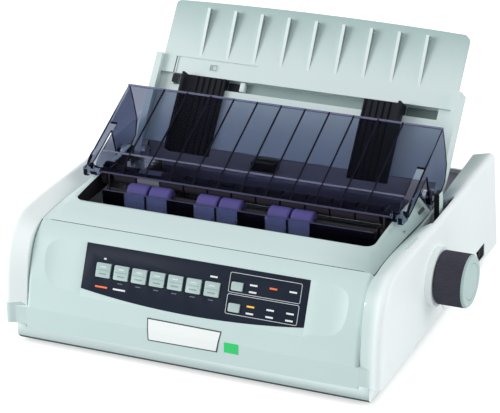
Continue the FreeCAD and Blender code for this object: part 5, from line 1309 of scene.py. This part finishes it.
@dataclass
class Studio:
    """The floor, the lamps and the camera."""

    target: tuple[float, float, float] = (-11.05, 172.0, 90.28)
    distance: float = 2131.73
    azimuth: float = 24.4
    elevation: float = 24.43
    roll: float = -1.58
    focal_pixels: float = 2287.16
    frame_width_pixels: float = 500.0
    sensor: float = 36.0
    sight: float = 50.0
    floor_size: float = 12.0
    floor_lift: float = 0.5
    floor_tones: tuple = (shade(240, 242, 242), shade(243, 244, 244))
    floor_patch: float = 0.4
    floor_roughness: float = 0.9
    floor_specular: float = 0.1
    world_level: float = 0.47
    world_tone: tuple[float, float, float, float] = (0.96, 0.99, 1.0, 1.0)
    white: tuple[float, float, float, float] = (1.0, 1.0, 1.0, 1.0)
    lamps: tuple = (("left_lamp", (-2.55, -1.65, 1.3), 1.8, 72.0),
                    ("side_lamp", (2.95, 0.3, 1.0), 1.6, 35.0),
                    ("top_lamp", (0.0, -0.9, 3.0), 1.6, 10.0))

    def build(self, datum: Datum) -> None:
        """Makes the camera, the floor, the world and the lamps."""
        self._camera(datum)
        self._floor()
        self._world()
        for name, place, size, power in self.lamps:
            self._lamp(name, place, size, power)

    def _camera(self, datum: Datum) -> None:
        """Puts the camera where the photograph was taken from."""
        azimuth = math.radians(self.azimuth)
        elevation = math.radians(self.elevation)
        roll = math.radians(self.roll)
        back = Vector((math.sin(azimuth) * math.cos(elevation), -math.cos(azimuth) * math.cos(elevation),
                       math.sin(elevation)))
        level_right = Vector((0, 0, 1)).cross(back).normalized()
        level_up = back.cross(level_right)
        right = level_right * math.cos(roll) + level_up * math.sin(roll)
        up = level_up * math.cos(roll) - level_right * math.sin(roll)
        camera = bpy.data.cameras.new("camera")
        camera.sensor_width = self.sensor
        camera.lens = self.focal_pixels * self.sensor / self.frame_width_pixels
        camera.clip_end = self.sight
        holder = bpy.data.objects.new("camera", camera)
        turn = Matrix((right, up, back)).transposed().to_4x4()
        holder.matrix_world = Matrix.Translation(datum.at(*self.target) + back * self.distance * MM) @ turn
        bpy.context.scene.collection.objects.link(holder)
        bpy.context.scene.camera = holder

    def _floor(self) -> None:
        """Lays the pale floor, which the camera sees as white outside the shadows."""
        bpy.ops.mesh.primitive_plane_add(size=self.floor_size, location=(0, 0, 0))
        floor = bpy.context.active_object
        floor.name = "floor"
        graph = Graph.of_material("floor_paper")
        base = graph.node("ShaderNodeBsdfPrincipled", {}, {
            "Base Color": graph.blend(graph.noise(self.floor_patch), *self.floor_tones),
            "Roughness": self.floor_roughness, "Specular IOR Level": self.floor_specular})
        glow = graph.node("ShaderNodeEmission", {}, {"Color": self.white, "Strength": self.floor_lift})
        rays = graph.node("ShaderNodeLightPath", output="Is Camera Ray")
        lifted = graph.node("ShaderNodeAddShader", {}, {0: base, 1: glow})
        mixed = graph.node("ShaderNodeMixShader", {}, {0: rays, 1: base, 2: lifted})
        graph.close(mixed, "ShaderNodeOutputMaterial")
        floor.data.materials.append(graph.owner)

    def _world(self) -> None:
        """Lights the printer evenly, and shows white to the camera and in reflections."""
        world = bpy.data.worlds.new("studio")
        bpy.context.scene.world = world
        graph = Graph(world)
        soft = graph.node("ShaderNodeBackground", {},
                          {"Color": self.world_tone, "Strength": self.world_level})
        white = graph.node("ShaderNodeBackground", {}, {"Color": self.white, "Strength": 1.0})
        camera, glossy, through = (graph.node("ShaderNodeLightPath", output=f"Is {kind} Ray")
                                   for kind in ("Camera", "Glossy", "Transmission"))
        mixed = graph.node("ShaderNodeMixShader", {}, {0: camera | glossy | through, 1: soft, 2: white})
        graph.close(mixed, "ShaderNodeOutputWorld")

    def _lamp(self, name: str, place: tuple[float, float, float], size: float, power: float) -> None:
        """Hangs one square soft lamp that faces the printer."""
        lamp = bpy.data.lights.new(name, "AREA")
        lamp.size = size
        lamp.energy = power
        holder = bpy.data.objects.new(name, lamp)
        holder.location = place
        middle = (cad_box[0] + cad_box[1]) / 2
        holder.rotation_euler = (middle - Vector(place)).to_track_quat("-Z", "Y").to_euler()
        bpy.context.scene.collection.objects.link(holder)


def dress_nodes() -> None:
    """Gives every node of the frame the finish of its material slot, or its own."""
    for name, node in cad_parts.items():
        slots = [material.name.split(".")[0] for material in node.data.materials if material]
        finish = NODE_FINISHES.get(name, SLOT_FINISHES.get(slots[0] if slots else "", Finish.CASE))
        node.data.materials.clear()
        node.data.materials.append(finish.material())
        log.info("node %s wears %s", name, finish.value.name)


def main() -> None:
    """Builds the dressed printer."""
    logging.basicConfig(level=logging.INFO, format="%(message)s")
    datum = Datum()
    dress_nodes()
    Casework().build(datum)
    ControlPanel().build(datum)
    FrontPlate().build(datum)
    SeparatorMarks().build(datum)
    BandMarks().build(datum)
    SmokedShield().build(datum)
    Inside().build(datum)
    PlatenKnob().build()
    Studio().build(datum)
    bpy.context.scene.view_settings.view_transform = "Standard"


if __name__ == "__main__":
    main()
